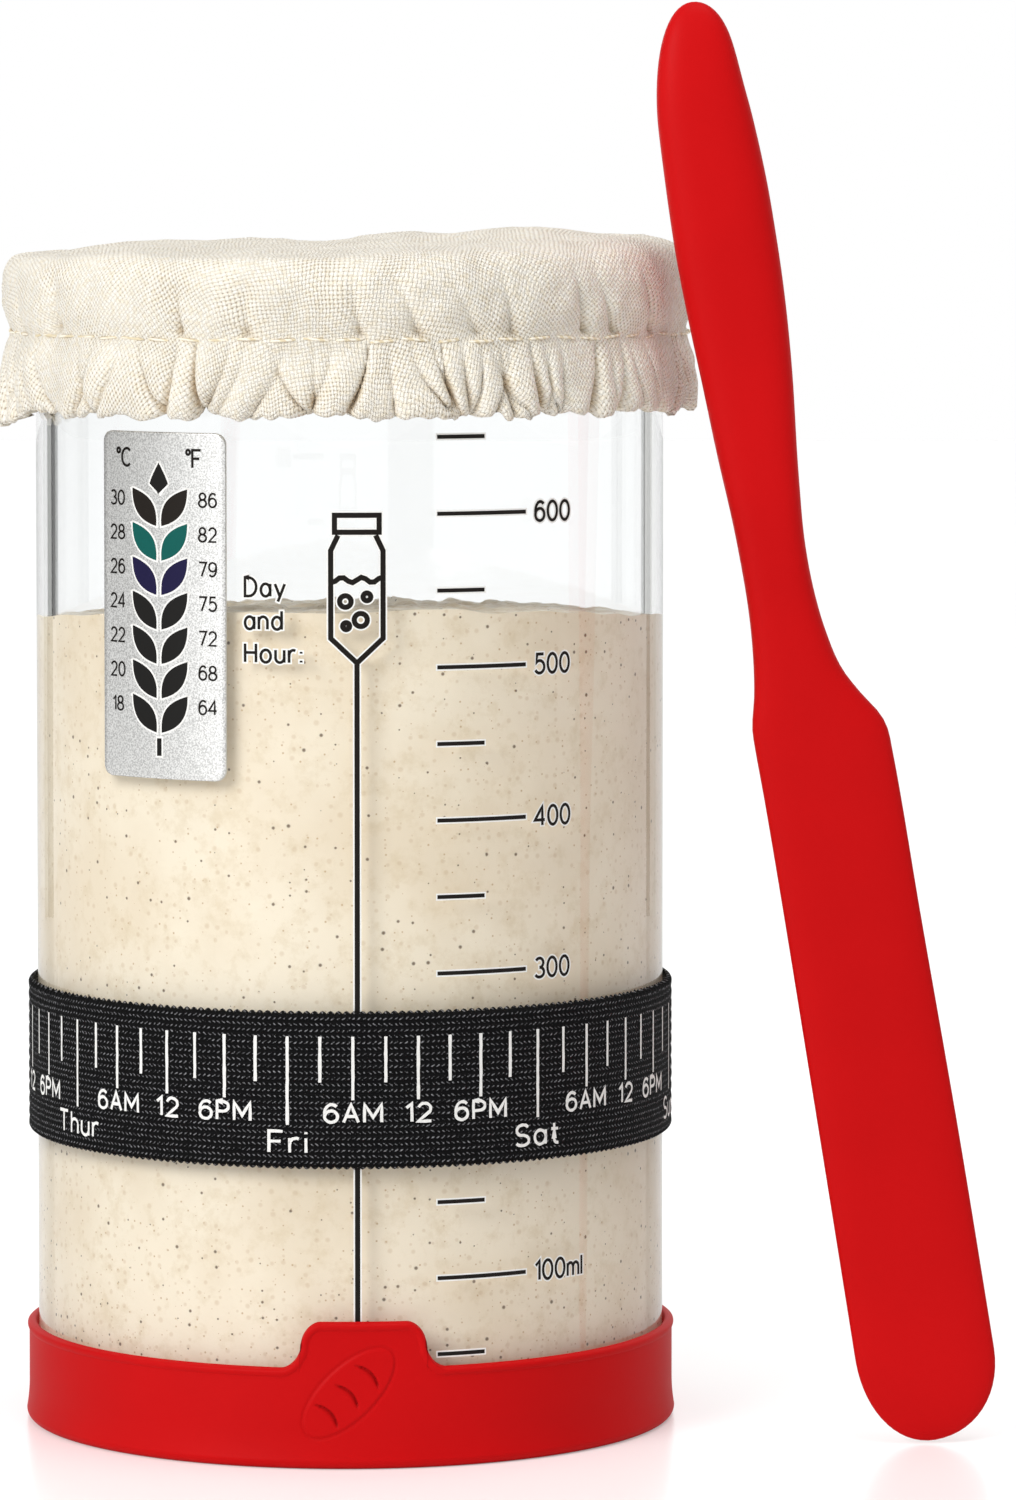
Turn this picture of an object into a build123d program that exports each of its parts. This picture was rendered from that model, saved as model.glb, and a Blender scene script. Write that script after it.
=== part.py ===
"""A glass sourdough starter jar with its fittings: a silicone foot sleeve, a thermometer
strip, a turning date band, an elasticated cloth cover, and the spatula of the set.

Lengths are in millimetres, +Z is up and -Y is the front.  The origin is the centre of
the face that the jar's foot sleeve rests on.
"""
import math
import os

from build123d import *

# Glass jar
jar_outer_radius = 42.4
jar_wall = 2.5
jar_floor_thickness = 3.1
jar_height = 155.9
jar_foot_round = 3.6
jar_inner_round = 3.0
jar_rim_share = 0.45
punt_radius = 30.0
punt_depth = 0.7

# Silicone foot sleeve
sleeve_floor = 1.6
sleeve_wall = 1.0
sleeve_rim_height = 13.2
sleeve_foot_round = 1.2
sleeve_flare = 0.35
sleeve_clearance = 0.3
tab_height = 19.3
tab_centre = 1.7
tab_top_width = 12.4
tab_foot_width = 20.8
loaf_length = 15.6
loaf_width = 7.1
loaf_tilt = 44.0
loaf_centre_x = -0.2
loaf_centre_height = 10.2
groove_width = 0.42
groove_depth = 0.35
slash_count = 3
slash_pitch = 3.7
slash_radius = 3.1
slash_turn = 80.0

# Starter inside the jar
starter_level = 112.0
starter_crown = 1.3
starter_gap = 0.05

# Thermometer strip on the glass
strip_width = 20.0
strip_below_rim = 22.4
strip_height = 45.4
strip_centre_angle = -35.7
strip_corner = 1.5
strip_film = 0.2
adhesive_film = 0.1
film_gap = 0.03
leaf_pairs = 7
leaf_pitch = 4.51
leaf_height = 4.9
leaf_width = 4.05
leaf_gap = 0.84
leaf_film = 0.08
first_leaf_height = 6.05
bud_height = 4.05
bud_width = 2.93
bud_gap = 0.65
stem_width = 0.73
stem_height = 2.3
stem_bottom = 3.0

# Places on a leaf that its two arcs pass through, as shares of its width and height
leaf_under_shares = (0.80, 0.42)
leaf_over_shares = (0.20, 0.60)
bud_waist_share = 0.32

# Date band round the jar
band_bottom = 39.5
band_height = 20.4
band_thickness = 0.95
band_clearance = 0.3
band_edge_round = 0.3
lap_length = 12.0
lap_gap = 0.02
tack_rows = 2
tack_count = 9
tack_length = 1.6
tack_thickness = 0.3

# Cloth cover
cloth_thickness = 0.9
cloth_rim_clearance = 0.3
hem_drop = 20.0
seam_share = 0.515
cover_ease = 3.2
fold_count = 28
fold_depth = 1.2
fold_wander = 0.2
fold_beat = 2.4
elastic_height = 4.0
elastic_thickness = 0.8
elastic_gap = 0.18
stitch_count = 66
stitch_length = 2.6
stitch_thread = 0.5

# Spatula that stands beside the jar
spatula_length = 193.4
spatula_width = 18.4
spatula_handle_thickness = 7.6
spatula_blade_thickness = 3.4
spatula_lean = 9.24
spatula_beyond_cover = 35.2
spatula_foot_z = 0.25
spatula_stand_off = 22.0
spatula_corner_share = 0.46
core_gap = 0.05
core_width_share = 0.42
core_thickness_share = 0.4
core_start_share = 0.12
core_end_share = 0.93

# One overrun for all cuts
overrun = 2.0

# Heights and radii that follow from the sizes above
glass_base = sleeve_floor
glass_floor = glass_base + jar_floor_thickness
glass_rim = glass_base + jar_height
strip_bottom = glass_rim - strip_below_rim - strip_height
jar_inner_radius = jar_outer_radius - jar_wall
sleeve_inner_radius = jar_outer_radius + sleeve_clearance
sleeve_outer_radius = sleeve_inner_radius + sleeve_wall
band_inner_radius = jar_outer_radius + band_clearance
band_outer_radius = band_inner_radius + band_thickness
cover_top = glass_rim + cloth_rim_clearance + cloth_thickness
cover_radius = jar_outer_radius + cover_ease
cover_reach = cover_radius + fold_depth
spatula_foot_x = math.sqrt(cover_reach**2 - spatula_stand_off**2) + spatula_beyond_cover


def place_at(shape, angle, radius, height):
    """Turn a shape made at the origin, front to -Y, round the jar and set it at a radius."""
    return Rot(0, 0, angle) * Pos(0, -radius, height) * shape


def ring(outer, inner, bottom, height):
    """A plain ring standing on a height."""
    base = Pos(0, 0, bottom) * Cylinder(outer, height, align=(Align.CENTER, Align.CENTER, Align.MIN))
    tall = height + 2 * overrun
    core = Cylinder(inner, tall, align=(Align.CENTER, Align.CENTER, Align.MIN))
    return base - Pos(0, 0, bottom - overrun) * core


def turned(profile):
    """Revolve a closed profile in the XZ plane about the jar's axis."""
    return revolve(Plane.XZ * profile, axis=Axis.Z)


def glass_jar():
    """Straight glass wall, thick floor with a shallow punt, fire-polished rim."""
    outer = Pos(0, 0, glass_base) * Cylinder(
        jar_outer_radius, jar_height, align=(Align.CENTER, Align.CENTER, Align.MIN)
    )
    outer = fillet(outer.edges().group_by(Axis.Z)[0], jar_foot_round)
    hollow_height = jar_height - jar_floor_thickness + overrun
    hollow = Pos(0, 0, glass_floor) * Cylinder(
        jar_inner_radius, hollow_height, align=(Align.CENTER, Align.CENTER, Align.MIN)
    )
    hollow = fillet(hollow.edges().group_by(Axis.Z)[0], jar_inner_round)
    jar = outer - hollow
    jar = fillet(jar.edges().group_by(Axis.Z)[-1], jar_wall * jar_rim_share)
    ball = (punt_radius**2 + punt_depth**2) / (2 * punt_depth)
    punt = Pos(0, 0, glass_base + punt_depth - ball) * Sphere(ball)
    return jar - punt


def tab_outline():
    """Front view of the sleeve: everything under the rim, and the tab with its S shoulders."""
    half_top = tab_top_width / 2
    half_foot = tab_foot_width / 2
    half_middle = (half_top + half_foot) / 2
    middle = (sleeve_rim_height + tab_height) / 2
    wide = sleeve_outer_radius + sleeve_flare + overrun
    level = ((1, 0), (1, 0))
    with BuildSketch() as sketch:
        with BuildLine():
            Line((-wide, sleeve_rim_height), (-half_foot, sleeve_rim_height))
            Spline(
                (-half_foot, sleeve_rim_height), (-half_middle, middle), (-half_top, tab_height), tangents=level
            )
            Line((-half_top, tab_height), (half_top, tab_height))
            Spline((half_top, tab_height), (half_middle, middle), (half_foot, sleeve_rim_height), tangents=level)
            Polyline(
                (half_foot, sleeve_rim_height),
                (wide, sleeve_rim_height),
                (wide, -overrun),
                (-wide, -overrun),
                (-wide, sleeve_rim_height),
            )
        make_face()
    return Pos(tab_centre, 0, 0) * Plane.XZ * sketch.sketch


def crescent(index):
    """One scoring slash across the loaf: an arc that bows up the loaf's length."""
    middle = (index - (slash_count - 1) / 2) * slash_pitch
    outer = Circle(slash_radius + groove_width / 2) - Circle(slash_radius - groove_width / 2)
    reach = slash_radius + overrun
    half = math.radians(slash_turn / 2)
    wedge = Polygon(
        (0, 0),
        (reach * math.cos(half), -reach * math.sin(half)),
        (reach, 0),
        (reach * math.cos(half), reach * math.sin(half)),
        align=None,
    )
    return Pos(middle - slash_radius, 0) * (outer & wedge)


def loaf_grooves():
    """A plain scored loaf: an oval outline with slashes, leaning up to the right."""
    oval = Ellipse(loaf_length / 2, loaf_width / 2)
    oval -= Ellipse(loaf_length / 2 - groove_width, loaf_width / 2 - groove_width)
    drawing = [oval] + [crescent(i) for i in range(slash_count)]
    front = Pos(loaf_centre_x, 0, loaf_centre_height) * Rot(0, -loaf_tilt, 0)
    reach = sleeve_outer_radius + sleeve_flare + overrun
    return [front * extrude(Plane.XZ * mark, reach) for mark in drawing]


def base_sleeve():
    """Soft cup that the jar stands in, with a raised tab at the front."""
    foot_radius = sleeve_outer_radius + sleeve_flare
    seat_round = jar_foot_round - sleeve_clearance
    seat_radius, seat_height = sleeve_inner_radius - seat_round, sleeve_floor + seat_round
    with BuildSketch() as profile:
        with BuildLine():
            Polyline(
                (seat_radius, sleeve_floor),
                (0, sleeve_floor),
                (0, 0),
                (foot_radius, 0),
                (sleeve_outer_radius, tab_height),
                (sleeve_inner_radius, tab_height),
                (sleeve_inner_radius, seat_height),
            )
            CenterArc((seat_radius, seat_height), seat_round, -90, 90)
        make_face()
        corner = profile.vertices().sort_by(lambda v: v.X - v.Y)[-1]
        fillet(corner, sleeve_foot_round)
    cup = turned(profile.sketch)
    front = extrude(tab_outline(), foot_radius + overrun)
    wide = 2 * (foot_radius + overrun)
    back = Pos(0, wide / 4, sleeve_rim_height / 2) * Box(wide, wide / 2, sleeve_rim_height)
    cup = cup & (front + back)
    floor = sleeve_outer_radius - groove_depth
    kept = Pos(0, 0, -overrun) * Cylinder(
        floor, tab_height + 2 * overrun, align=(Align.CENTER, Align.CENTER, Align.MIN)
    )
    for groove in loaf_grooves():
        cup -= groove - kept
    return cup


def starter():
    """The dough: fills the jar to its level, slightly domed."""
    radius = jar_inner_radius - starter_gap
    bottom = glass_floor + starter_gap
    height = starter_level + starter_crown - bottom
    dough = Pos(0, 0, bottom) * Cylinder(radius, height, align=(Align.CENTER, Align.CENTER, Align.MIN))
    dough = fillet(dough.edges().group_by(Axis.Z)[0], jar_inner_round + starter_gap)
    ball = (radius**2 + starter_crown**2) / (2 * starter_crown)
    return dough & Pos(0, 0, starter_level + starter_crown - ball) * Sphere(ball)


def strip_block(width, height, corner):
    """A rounded block that reaches out through the strip's place on the glass."""
    flat = RectangleRounded(width, height, corner)
    block = extrude(Plane.XZ * flat, jar_outer_radius + overrun)
    middle = strip_bottom + strip_height / 2
    return Rot(0, 0, strip_centre_angle) * Pos(0, 0, middle) * block


def strip_chord():
    """The strip's width once it is wrapped on the glass, seen square on."""
    return 2 * jar_outer_radius * math.sin(strip_width / (2 * jar_outer_radius))


def thermometer_adhesive():
    """Glue layer between the glass and the printed strip."""
    inner = jar_outer_radius + film_gap
    shell = ring(inner + adhesive_film, inner, strip_bottom, strip_height)
    return shell & strip_block(strip_chord(), strip_height, strip_corner)


def strip_face():
    """Radius of the strip's printed face."""
    return jar_outer_radius + 2 * film_gap + adhesive_film + strip_film


def thermometer_strip():
    """Printed backing film of the liquid crystal thermometer."""
    shell = ring(strip_face(), strip_face() - strip_film, strip_bottom, strip_height)
    return shell & strip_block(strip_chord(), strip_height, strip_corner)


def leaf_outline(side):
    """One curved leaf that rises outwards from its foot beside the stem."""
    foot = side * leaf_gap / 2
    tip = (foot + side * leaf_width, leaf_height)
    under = (foot + side * leaf_width * leaf_under_shares[0], leaf_height * leaf_under_shares[1])
    over = (foot + side * leaf_width * leaf_over_shares[0], leaf_height * leaf_over_shares[1])
    with BuildSketch() as sketch:
        with BuildLine():
            ThreePointArc((foot, 0), under, tip)
            ThreePointArc(tip, over, (foot, 0))
        make_face()
    return sketch.sketch


def bud_outline():
    """The pointed bud over the leaves: a kite with its widest place low down."""
    half = bud_width / 2
    waist = bud_height * bud_waist_share
    return Polygon((0, 0), (half, waist), (0, bud_height), (-half, waist), align=None)


def thermometer_leaves():
    """Liquid crystal patches of the strip: a stem, pairs of leaves and a bud."""
    stem = Pos(0, stem_bottom + stem_height / 2) * Rectangle(stem_width, stem_height)
    marks = [stem]
    for pair in range(leaf_pairs):
        height = first_leaf_height + pair * leaf_pitch
        marks += [Pos(0, height) * leaf_outline(side) for side in (-1, 1)]
    top = first_leaf_height + (leaf_pairs - 1) * leaf_pitch + leaf_height
    marks.append(Pos(0, top - bud_gap) * bud_outline())
    inner = strip_face() + film_gap
    film = ring(inner + leaf_film, inner, strip_bottom, strip_height)
    place = Rot(0, 0, strip_centre_angle) * Pos(0, 0, strip_bottom)
    leaves = [film & (place * extrude(Plane.XZ * mark, jar_outer_radius + overrun)) for mark in marks]
    return Compound([solid for leaf in leaves for solid in leaf.solids()])


def date_band():
    """Woven elastic loop, printed with the days, that grips the glass and can be turned."""
    band = ring(band_outer_radius, band_inner_radius, band_bottom, band_height)
    return fillet(band.edges(), band_edge_round)


def band_lap():
    """The band's free end, laid over its start at the back of the jar."""
    inner = band_outer_radius + lap_gap
    shell = ring(inner + band_thickness, inner, band_bottom, band_height)
    width = 2 * inner * math.sin(lap_length / (2 * inner))
    block = Pos(0, inner, band_bottom + band_height / 2) * Box(width, inner, band_height)
    return shell & block


def band_stitching():
    """Bar tacks through the lap, one row near each of its ends."""
    face = band_outer_radius + lap_gap + band_thickness
    spacing = band_height / (tack_count + 1)
    tacks = []
    for row in range(tack_rows):
        share = row / (tack_rows - 1) - 1 / 2
        angle = 180 + math.degrees(share * (lap_length - 2 * tack_length) / face)
        for step in range(tack_count):
            tack = Box(tack_length, tack_thickness, tack_thickness)
            height = band_bottom + spacing * (step + 1)
            tacks.append(place_at(tack, angle, face, height))
    return Compound([solid for tack in tacks for solid in tack.solids()])


def fold_ring(radius, depth, height):
    """A closed gathered outline: arcs that run over each crest and into each valley."""
    pitch = 2 * math.pi / fold_count
    turns = []
    for fold in range(fold_count):
        wander = fold_wander * math.sin(fold_beat * fold)
        turns.append(pitch * (fold + wander))
    turns.append(turns[0] + 2 * math.pi)
    points = []
    for start, end in zip(turns[:-1], turns[1:]):
        for quarter, lift in enumerate((0, 1, 0, -1)):
            angle = start + (end - start) * quarter / 4
            reach = radius + lift * depth
            points.append((reach * math.cos(angle), reach * math.sin(angle), height))
    points.append(points[0])
    arcs = [ThreePointArc(*points[i : i + 3]) for i in range(0, len(points) - 1, 2)]
    return Wire(arcs)


# Sections of the cover's side from its hem up: how far each lies below the top as a share
# of the hem's drop, its radius as a share of the cover's, and its share of the fold depth
cover_shares = (
    (1.00, 0.986, 1.00),
    (0.86, 0.990, 0.90),
    (0.66, 0.982, 0.60),
    (seam_share, 0.984, 0.20),
    (0.38, 0.994, 0.45),
    (0.20, 1.002, 0.35),
    (0.06, 0.985, 0.12),
    (0.00, 0.955, 0.06),
    (-0.03, 0.86, 0.04),
    (-0.04, 0.50, 0.02),
    (-0.02, 0.10, 0.01),
)


def cover_body(inset):
    """The cover's outer form, or the same form drawn in by the cloth's thickness."""
    rings = []
    for drop_share, radius_share, depth_share in cover_shares:
        height = cover_top - inset - drop_share * hem_drop
        radius = cover_radius * radius_share - inset * min(1, radius_share**4)
        rings.append(fold_ring(radius, fold_depth * depth_share, height))
    return Solid.make_loft(rings, ruled=True)


def cover_cloth():
    """Gathered cloth cap with its main folds, open at the hem."""
    inner = cover_body(cloth_thickness)
    return cover_body(0) - inner


def seam_height():
    """Height of the seam that holds the elastic."""
    return cover_top - seam_share * hem_drop


def cover_elastic():
    """Elastic sewn to the inside of the cover at its seam."""
    seam_radius_share, seam_depth_share = cover_shares[3][1:]
    face = cover_radius * seam_radius_share - fold_depth * seam_depth_share
    outer = face - cloth_thickness - elastic_gap
    bottom = seam_height() - elastic_height / 2
    return ring(outer, outer - elastic_thickness, bottom, elastic_height)


def cover_stitching():
    """Running stitch through cloth and elastic along the seam."""
    radius = cover_radius * cover_shares[3][1]
    stitches = []
    for step in range(stitch_count):
        stitch = Box(stitch_length, stitch_thread, stitch_thread)
        stitches.append(place_at(stitch, 360 * step / stitch_count, radius, seam_height()))
    return Compound([solid for stitch in stitches for solid in stitch.solids()])


# The spatula's sections from its foot up: place along its length, left and right edge as
# shares of its width, and thickness as a share from the blade's to the handle's
spatula_shares = (
    (0.000, -0.06, 0.16, 0.0),
    (0.004, -0.19, 0.33, 0.0),
    (0.018, -0.31, 0.50, 0.0),
    (0.050, -0.405, 0.595, 0.0),
    (0.110, -0.411, 0.592, 0.0),
    (0.300, -0.411, 0.570, 0.05),
    (0.455, -0.417, 0.548, 0.15),
    (0.490, -0.426, 0.545, 0.22),
    (0.512, -0.410, 0.420, 0.32),
    (0.538, -0.355, 0.275, 0.45),
    (0.580, -0.315, 0.176, 0.60),
    (0.620, -0.317, 0.162, 0.70),
    (0.700, -0.365, 0.215, 0.85),
    (0.790, -0.413, 0.301, 1.0),
    (0.850, -0.426, 0.308, 1.0),
    (0.920, -0.397, 0.274, 0.9),
    (0.960, -0.325, 0.230, 0.75),
    (0.985, -0.210, 0.152, 0.55),
    (0.998, -0.080, 0.060, 0.3),
)


def spatula_section(place, left, right, thickness):
    """One rounded section square to the spatula's length."""
    width = (right - left) * spatula_width
    flat = RectangleRounded(width, thickness, min(thickness, width) * spatula_corner_share)
    middle = (left + right) / 2 * spatula_width
    return Pos(middle, 0, place * spatula_length) * flat


def spatula_thickness(grip):
    """Thickness between the blade's and the handle's."""
    return spatula_blade_thickness + grip * (spatula_handle_thickness - spatula_blade_thickness)


def spatula_form():
    """The whole spatula's outer form, from its blade's end to its handle's."""
    sections = [
        spatula_section(place, left, right, spatula_thickness(grip))
        for place, left, right, grip in spatula_shares
    ]
    return loft(sections)


def core_form(gap):
    """The core, or with a gap the cavity that it lies in."""
    held = [row for row in spatula_shares if core_start_share <= row[0] <= core_end_share]
    sections = []
    for row, (place, left, right, grip) in enumerate(held):
        middle = (left + right) / 2
        half = (right - left) / 2 * core_width_share + gap / spatula_width
        thickness = spatula_thickness(grip) * core_thickness_share + 2 * gap
        end = gap * ((row == len(held) - 1) - (row == 0)) / spatula_length
        sections.append(spatula_section(place + end, middle - half, middle + half, thickness))
    return loft(sections, ruled=True)


def stood(shape):
    """Lean the spatula and stand it at its place beside the jar."""
    depth = spatula_stand_off + spatula_handle_thickness / 2
    return Pos(spatula_foot_x, -depth, spatula_foot_z) * Rot(0, -spatula_lean, 0) * shape


def spatula_core():
    """Stiff core moulded inside the silicone."""
    return stood(core_form(0))


def spatula_skin():
    """Silicone blade and handle in one piece, hollow only for its core."""
    return stood(spatula_form() - core_form(core_gap))


pieces = {
    "base_sleeve": base_sleeve,
    "glass_jar": glass_jar,
    "starter": starter,
    "thermometer_adhesive": thermometer_adhesive,
    "thermometer_strip": thermometer_strip,
    "thermometer_leaves": thermometer_leaves,
    "date_band": date_band,
    "band_lap": band_lap,
    "band_stitching": band_stitching,
    "cover_cloth": cover_cloth,
    "cover_elastic": cover_elastic,
    "cover_stitching": cover_stitching,
    "spatula_skin": spatula_skin,
    "spatula_core": spatula_core,
}

os.makedirs("parts", exist_ok=True)
for name, make in pieces.items():
    export_step(make(), f"parts/{name}.step")
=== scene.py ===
"""A sourdough starter jar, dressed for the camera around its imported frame.

Sizes in the classes are in millimetres, in the frame's own axes: +Z is up, -Y is the front
and the origin is the centre of the face that the foot sleeve rests on.  An angle round the
jar is 0 at the front and grows towards +X.
"""

import logging
import math
from collections.abc import Iterator, Sequence
from contextlib import contextmanager
from dataclasses import dataclass
from enum import Enum

import bmesh
import bpy
import numpy as np
from bpy.types import Material, Node, NodeSocket, NodeTree, Object, World
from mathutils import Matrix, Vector


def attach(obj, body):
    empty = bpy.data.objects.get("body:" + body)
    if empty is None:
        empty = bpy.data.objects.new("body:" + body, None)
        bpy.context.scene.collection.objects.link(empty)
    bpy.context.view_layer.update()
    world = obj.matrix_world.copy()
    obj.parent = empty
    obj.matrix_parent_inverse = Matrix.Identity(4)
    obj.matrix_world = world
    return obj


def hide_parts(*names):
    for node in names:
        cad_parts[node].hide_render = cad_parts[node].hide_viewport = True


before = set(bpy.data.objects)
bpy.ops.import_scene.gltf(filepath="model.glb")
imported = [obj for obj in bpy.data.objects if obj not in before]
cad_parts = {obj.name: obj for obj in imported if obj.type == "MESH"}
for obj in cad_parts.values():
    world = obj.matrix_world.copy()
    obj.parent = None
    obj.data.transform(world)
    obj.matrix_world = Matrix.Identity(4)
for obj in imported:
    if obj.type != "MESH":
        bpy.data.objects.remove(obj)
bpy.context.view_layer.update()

log = logging.getLogger("starter_jar")
MM = 0.001  # metres in a millimetre
TURN = 2 * math.pi
TINY = 1e-9  # keeps a division away from zero
WAVE_PEAK = 1.5  # a sum of waves over the root of their number seldom passes this
ARC_STEP = 15  # degrees between the points of a letter's arc
RIBBON_STEP = 0.7  # longest step along a printed stroke
THREAD_STEPS = 11  # sections along a short thread
THREAD_SIDES = 8  # points round a thread
LEVEL = Vector((1, 1, 0))  # times this, a vector keeps its level part
WHITE = (1.0, 1.0, 1.0, 1.0)
Grid = np.ndarray
Pair = tuple[float, float]
Triple = tuple[float, float, float]
Inputs = dict[str, object]


class Day(Enum):
    """Days printed on the band, in the order that they run round it."""

    MONDAY = "Mon"
    TUESDAY = "Tue"
    WEDNESDAY = "Wed"
    THURSDAY = "Thur"
    FRIDAY = "Fri"
    SATURDAY = "Sat"
    SUNDAY = "Sun"


class Close(Enum):
    """Which ways a grid of points closes on itself."""

    NONE = (False, False)
    AROUND = (True, False)
    SECTION = (False, True)


def linear(hexa: str) -> tuple[float, float, float, float]:
    """Turn an sRGB hex colour into linear values.

    Args:
        hexa: six hex digits.

    Returns:
        Red, green, blue and an alpha of one.
    """
    parts = [int(hexa[i : i + 2], 16) / 255 for i in (0, 2, 4)]
    lit = [p / 12.92 if p <= 0.04045 else ((p + 0.055) / 1.055) ** 2.4 for p in parts]
    return (*lit, 1.0)


def smooth(places: Sequence[float], values: Sequence[float], at: Grid) -> Grid:
    """Read a smooth curve through a few chosen points.

    Each span is a cubic whose end slopes are the mean of its neighbours' slopes, and are
    level where the values turn, so the curve never swings past its points.

    Args:
        places: rising places of the points.
        values: their values.
        at: where the curve is read.

    Returns:
        The curve's values, in the shape of at.
    """
    x, y = np.asarray(places, float), np.asarray(values, float)
    step, rise = np.diff(x), np.diff(y)
    slope = rise / step
    bend = np.concatenate(([slope[0]], (slope[:-1] + slope[1:]) / 2, [slope[-1]]))
    turning = np.concatenate(([False], slope[:-1] * slope[1:] <= 0, [False]))
    bend[turning] = 0.0
    i = np.clip(np.searchsorted(x, at, side="right") - 1, 0, len(step) - 1)
    t = (np.clip(at, x[0], x[-1]) - x[i]) / step[i]
    return (
        y[i] * (1 + 2 * t) * (1 - t) ** 2
        + bend[i] * step[i] * t * (1 - t) ** 2
        + y[i + 1] * t**2 * (3 - 2 * t)
        + bend[i + 1] * step[i] * t**2 * (t - 1)
    )


def waves(seed: int, count: int, low: float, high: float, u: Grid, v: Grid) -> Grid:
    """Smooth seeded unevenness: a sum of plane waves in random directions.

    Args:
        seed: fixes the directions and phases.
        count: number of waves.
        low: shortest wave length.
        high: longest wave length.
        u: first coordinate of each point.
        v: second coordinate of each point.

    Returns:
        Values of about -1 to 1.
    """
    rng = np.random.default_rng(seed)
    total = np.zeros(np.broadcast(u, v).shape)
    for _ in range(count):
        turn, phase = rng.uniform(0, TURN, 2)
        length = math.exp(rng.uniform(math.log(low), math.log(high)))
        total += np.sin(TURN * (u * math.cos(turn) + v * math.sin(turn)) / length + phase)
    return total / math.sqrt(count) / WAVE_PEAK


def wrapped(angle: Grid) -> Grid:
    """Bring angles to within half a turn of the front."""
    return (angle + math.pi) % TURN - math.pi


def round_jar(angle: Grid, radius: Grid, height: Grid) -> Grid:
    """Points on a cylinder about the jar's axis.

    Args:
        angle: turn from the front towards +X, in radians.
        radius: distance from the axis.
        height: height above the table.

    Returns:
        The points, one more axis of x, y and z.
    """
    angle, radius, height = np.broadcast_arrays(angle, radius, height)
    return np.stack([radius * np.sin(angle), -radius * np.cos(angle), height], axis=-1)


def mesh_object(name: str, points: Grid, faces: Grid | list, uv: Grid | None = None) -> Object:
    """Make a smooth shaded object of points in millimetres.

    Args:
        name: the object's name.
        points: one row for each vertex.
        faces: rows of vertex numbers.
        uv: a place on the pattern for each vertex, in millimetres.

    Returns:
        The linked object, at the origin.
    """
    mesh = bpy.data.meshes.new(name)
    mesh.from_pydata((np.asarray(points).reshape(-1, 3) * MM).tolist(), [], np.asarray(faces).tolist())
    if uv is not None:
        corners = np.empty(len(mesh.loops), np.int32)
        mesh.loops.foreach_get("vertex_index", corners)
        layer = mesh.uv_layers.new(name="pattern")
        layer.data.foreach_set("uv", np.asarray(uv, np.float32).reshape(-1, 2)[corners].ravel())
    mesh.polygons.foreach_set("use_smooth", np.ones(len(mesh.polygons), bool))
    mesh.update()
    made = bpy.data.objects.new(name, mesh)
    bpy.context.scene.collection.objects.link(made)
    return made


def grid_faces(across: int, along: int, close: Close = Close.NONE) -> Grid:
    """Quads between neighbouring points of a grid.

    Args:
        across: number of columns, the grid's first axis.
        along: number of rows, its second axis.
        close: which axes close on themselves.

    Returns:
        One row of four vertex numbers for each quad, facing outwards where the columns
        run anticlockwise seen from above and the rows run down.
    """
    u = np.arange(across if close.value[0] else across - 1)
    v = np.arange(along if close.value[1] else along - 1)
    i, j = np.meshgrid(u, v, indexing="ij")
    far, down = (i + 1) % across, (j + 1) % along
    quads = np.stack([i * along + j, i * along + down, far * along + down, far * along + j], axis=-1)
    return quads.reshape(-1, 4)


@contextmanager
def editing(made: Object) -> Iterator[bmesh.types.BMesh]:
    """Open an object's mesh for editing, and write it back at the end.

    Args:
        made: the object.

    Yields:
        The mesh to edit.
    """
    work = bmesh.new()
    work.from_mesh(made.data)
    yield work
    work.to_mesh(made.data)
    work.free()


def join_points(made: Object, reach: float = 0.0005) -> Object:
    """Merge the doubled points of poles and seams and point the faces outwards.

    Args:
        made: the object to clean.
        reach: merging distance in millimetres.

    Returns:
        The same object.
    """
    with editing(made) as work:
        bmesh.ops.remove_doubles(work, verts=work.verts, dist=reach * MM)
        bmesh.ops.recalc_face_normals(work, faces=work.faces)
    return made


def lathe(name: str, profile: Grid, columns: int) -> Object:
    """Turn a profile of radius and height about the jar's axis.

    Args:
        name: the object's name.
        profile: rows of radius and height, from axis to axis.
        columns: number of columns round.

    Returns:
        The closed, merged object.
    """
    angle = np.arange(columns)[:, None] * TURN / columns
    points = round_jar(angle, profile[None, :, 0], profile[None, :, 1])
    return join_points(mesh_object(name, points, grid_faces(columns, len(profile), Close.AROUND)))


def arc(centre: Pair, radius: float, start: float, end: float, steps: int) -> Grid:
    """Points of radius and height along an arc, angles in degrees from straight outwards."""
    turn = np.radians(np.linspace(start, end, steps))
    return np.stack([centre[0] + radius * np.cos(turn), centre[1] + radius * np.sin(turn)], axis=-1)


def add(tree: NodeTree, kind: str, feeds: dict[int | str, object] | None = None, **settings) -> Node:
    """Add one node with its settings and links.

    Inputs go by name or by number: a map range has its value, from low, from high, to low and
    to high as 0 to 4, and a colour mix has its share as 0 and its two colours as 6 and 7.

    Args:
        tree: the material's or world's nodes.
        kind: the node's type name, without its first word.
        feeds: what each input gets: a value, an output socket, or a node for its first output.
        settings: the node's own settings; stops holds a ramp's places and hex colours.

    Returns:
        The new node.
    """
    made = tree.nodes.new("ShaderNode" + kind)
    stops = settings.pop("stops", ())
    for key, value in settings.items():
        setattr(made, key, value)
    for at, hexa in stops:
        made.color_ramp.elements.new(at).color = linear(hexa)
    if stops:
        made.color_ramp.elements.remove(made.color_ramp.elements[0])
        made.color_ramp.elements.remove(made.color_ramp.elements[-1])
    for key, value in (feeds or {}).items():
        if isinstance(value, Node):
            value = next(out for out in value.outputs if out.enabled)
        if isinstance(value, NodeSocket):
            tree.links.new(value, made.inputs[key])
        else:
            made.inputs[key].default_value = value
    return made


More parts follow.
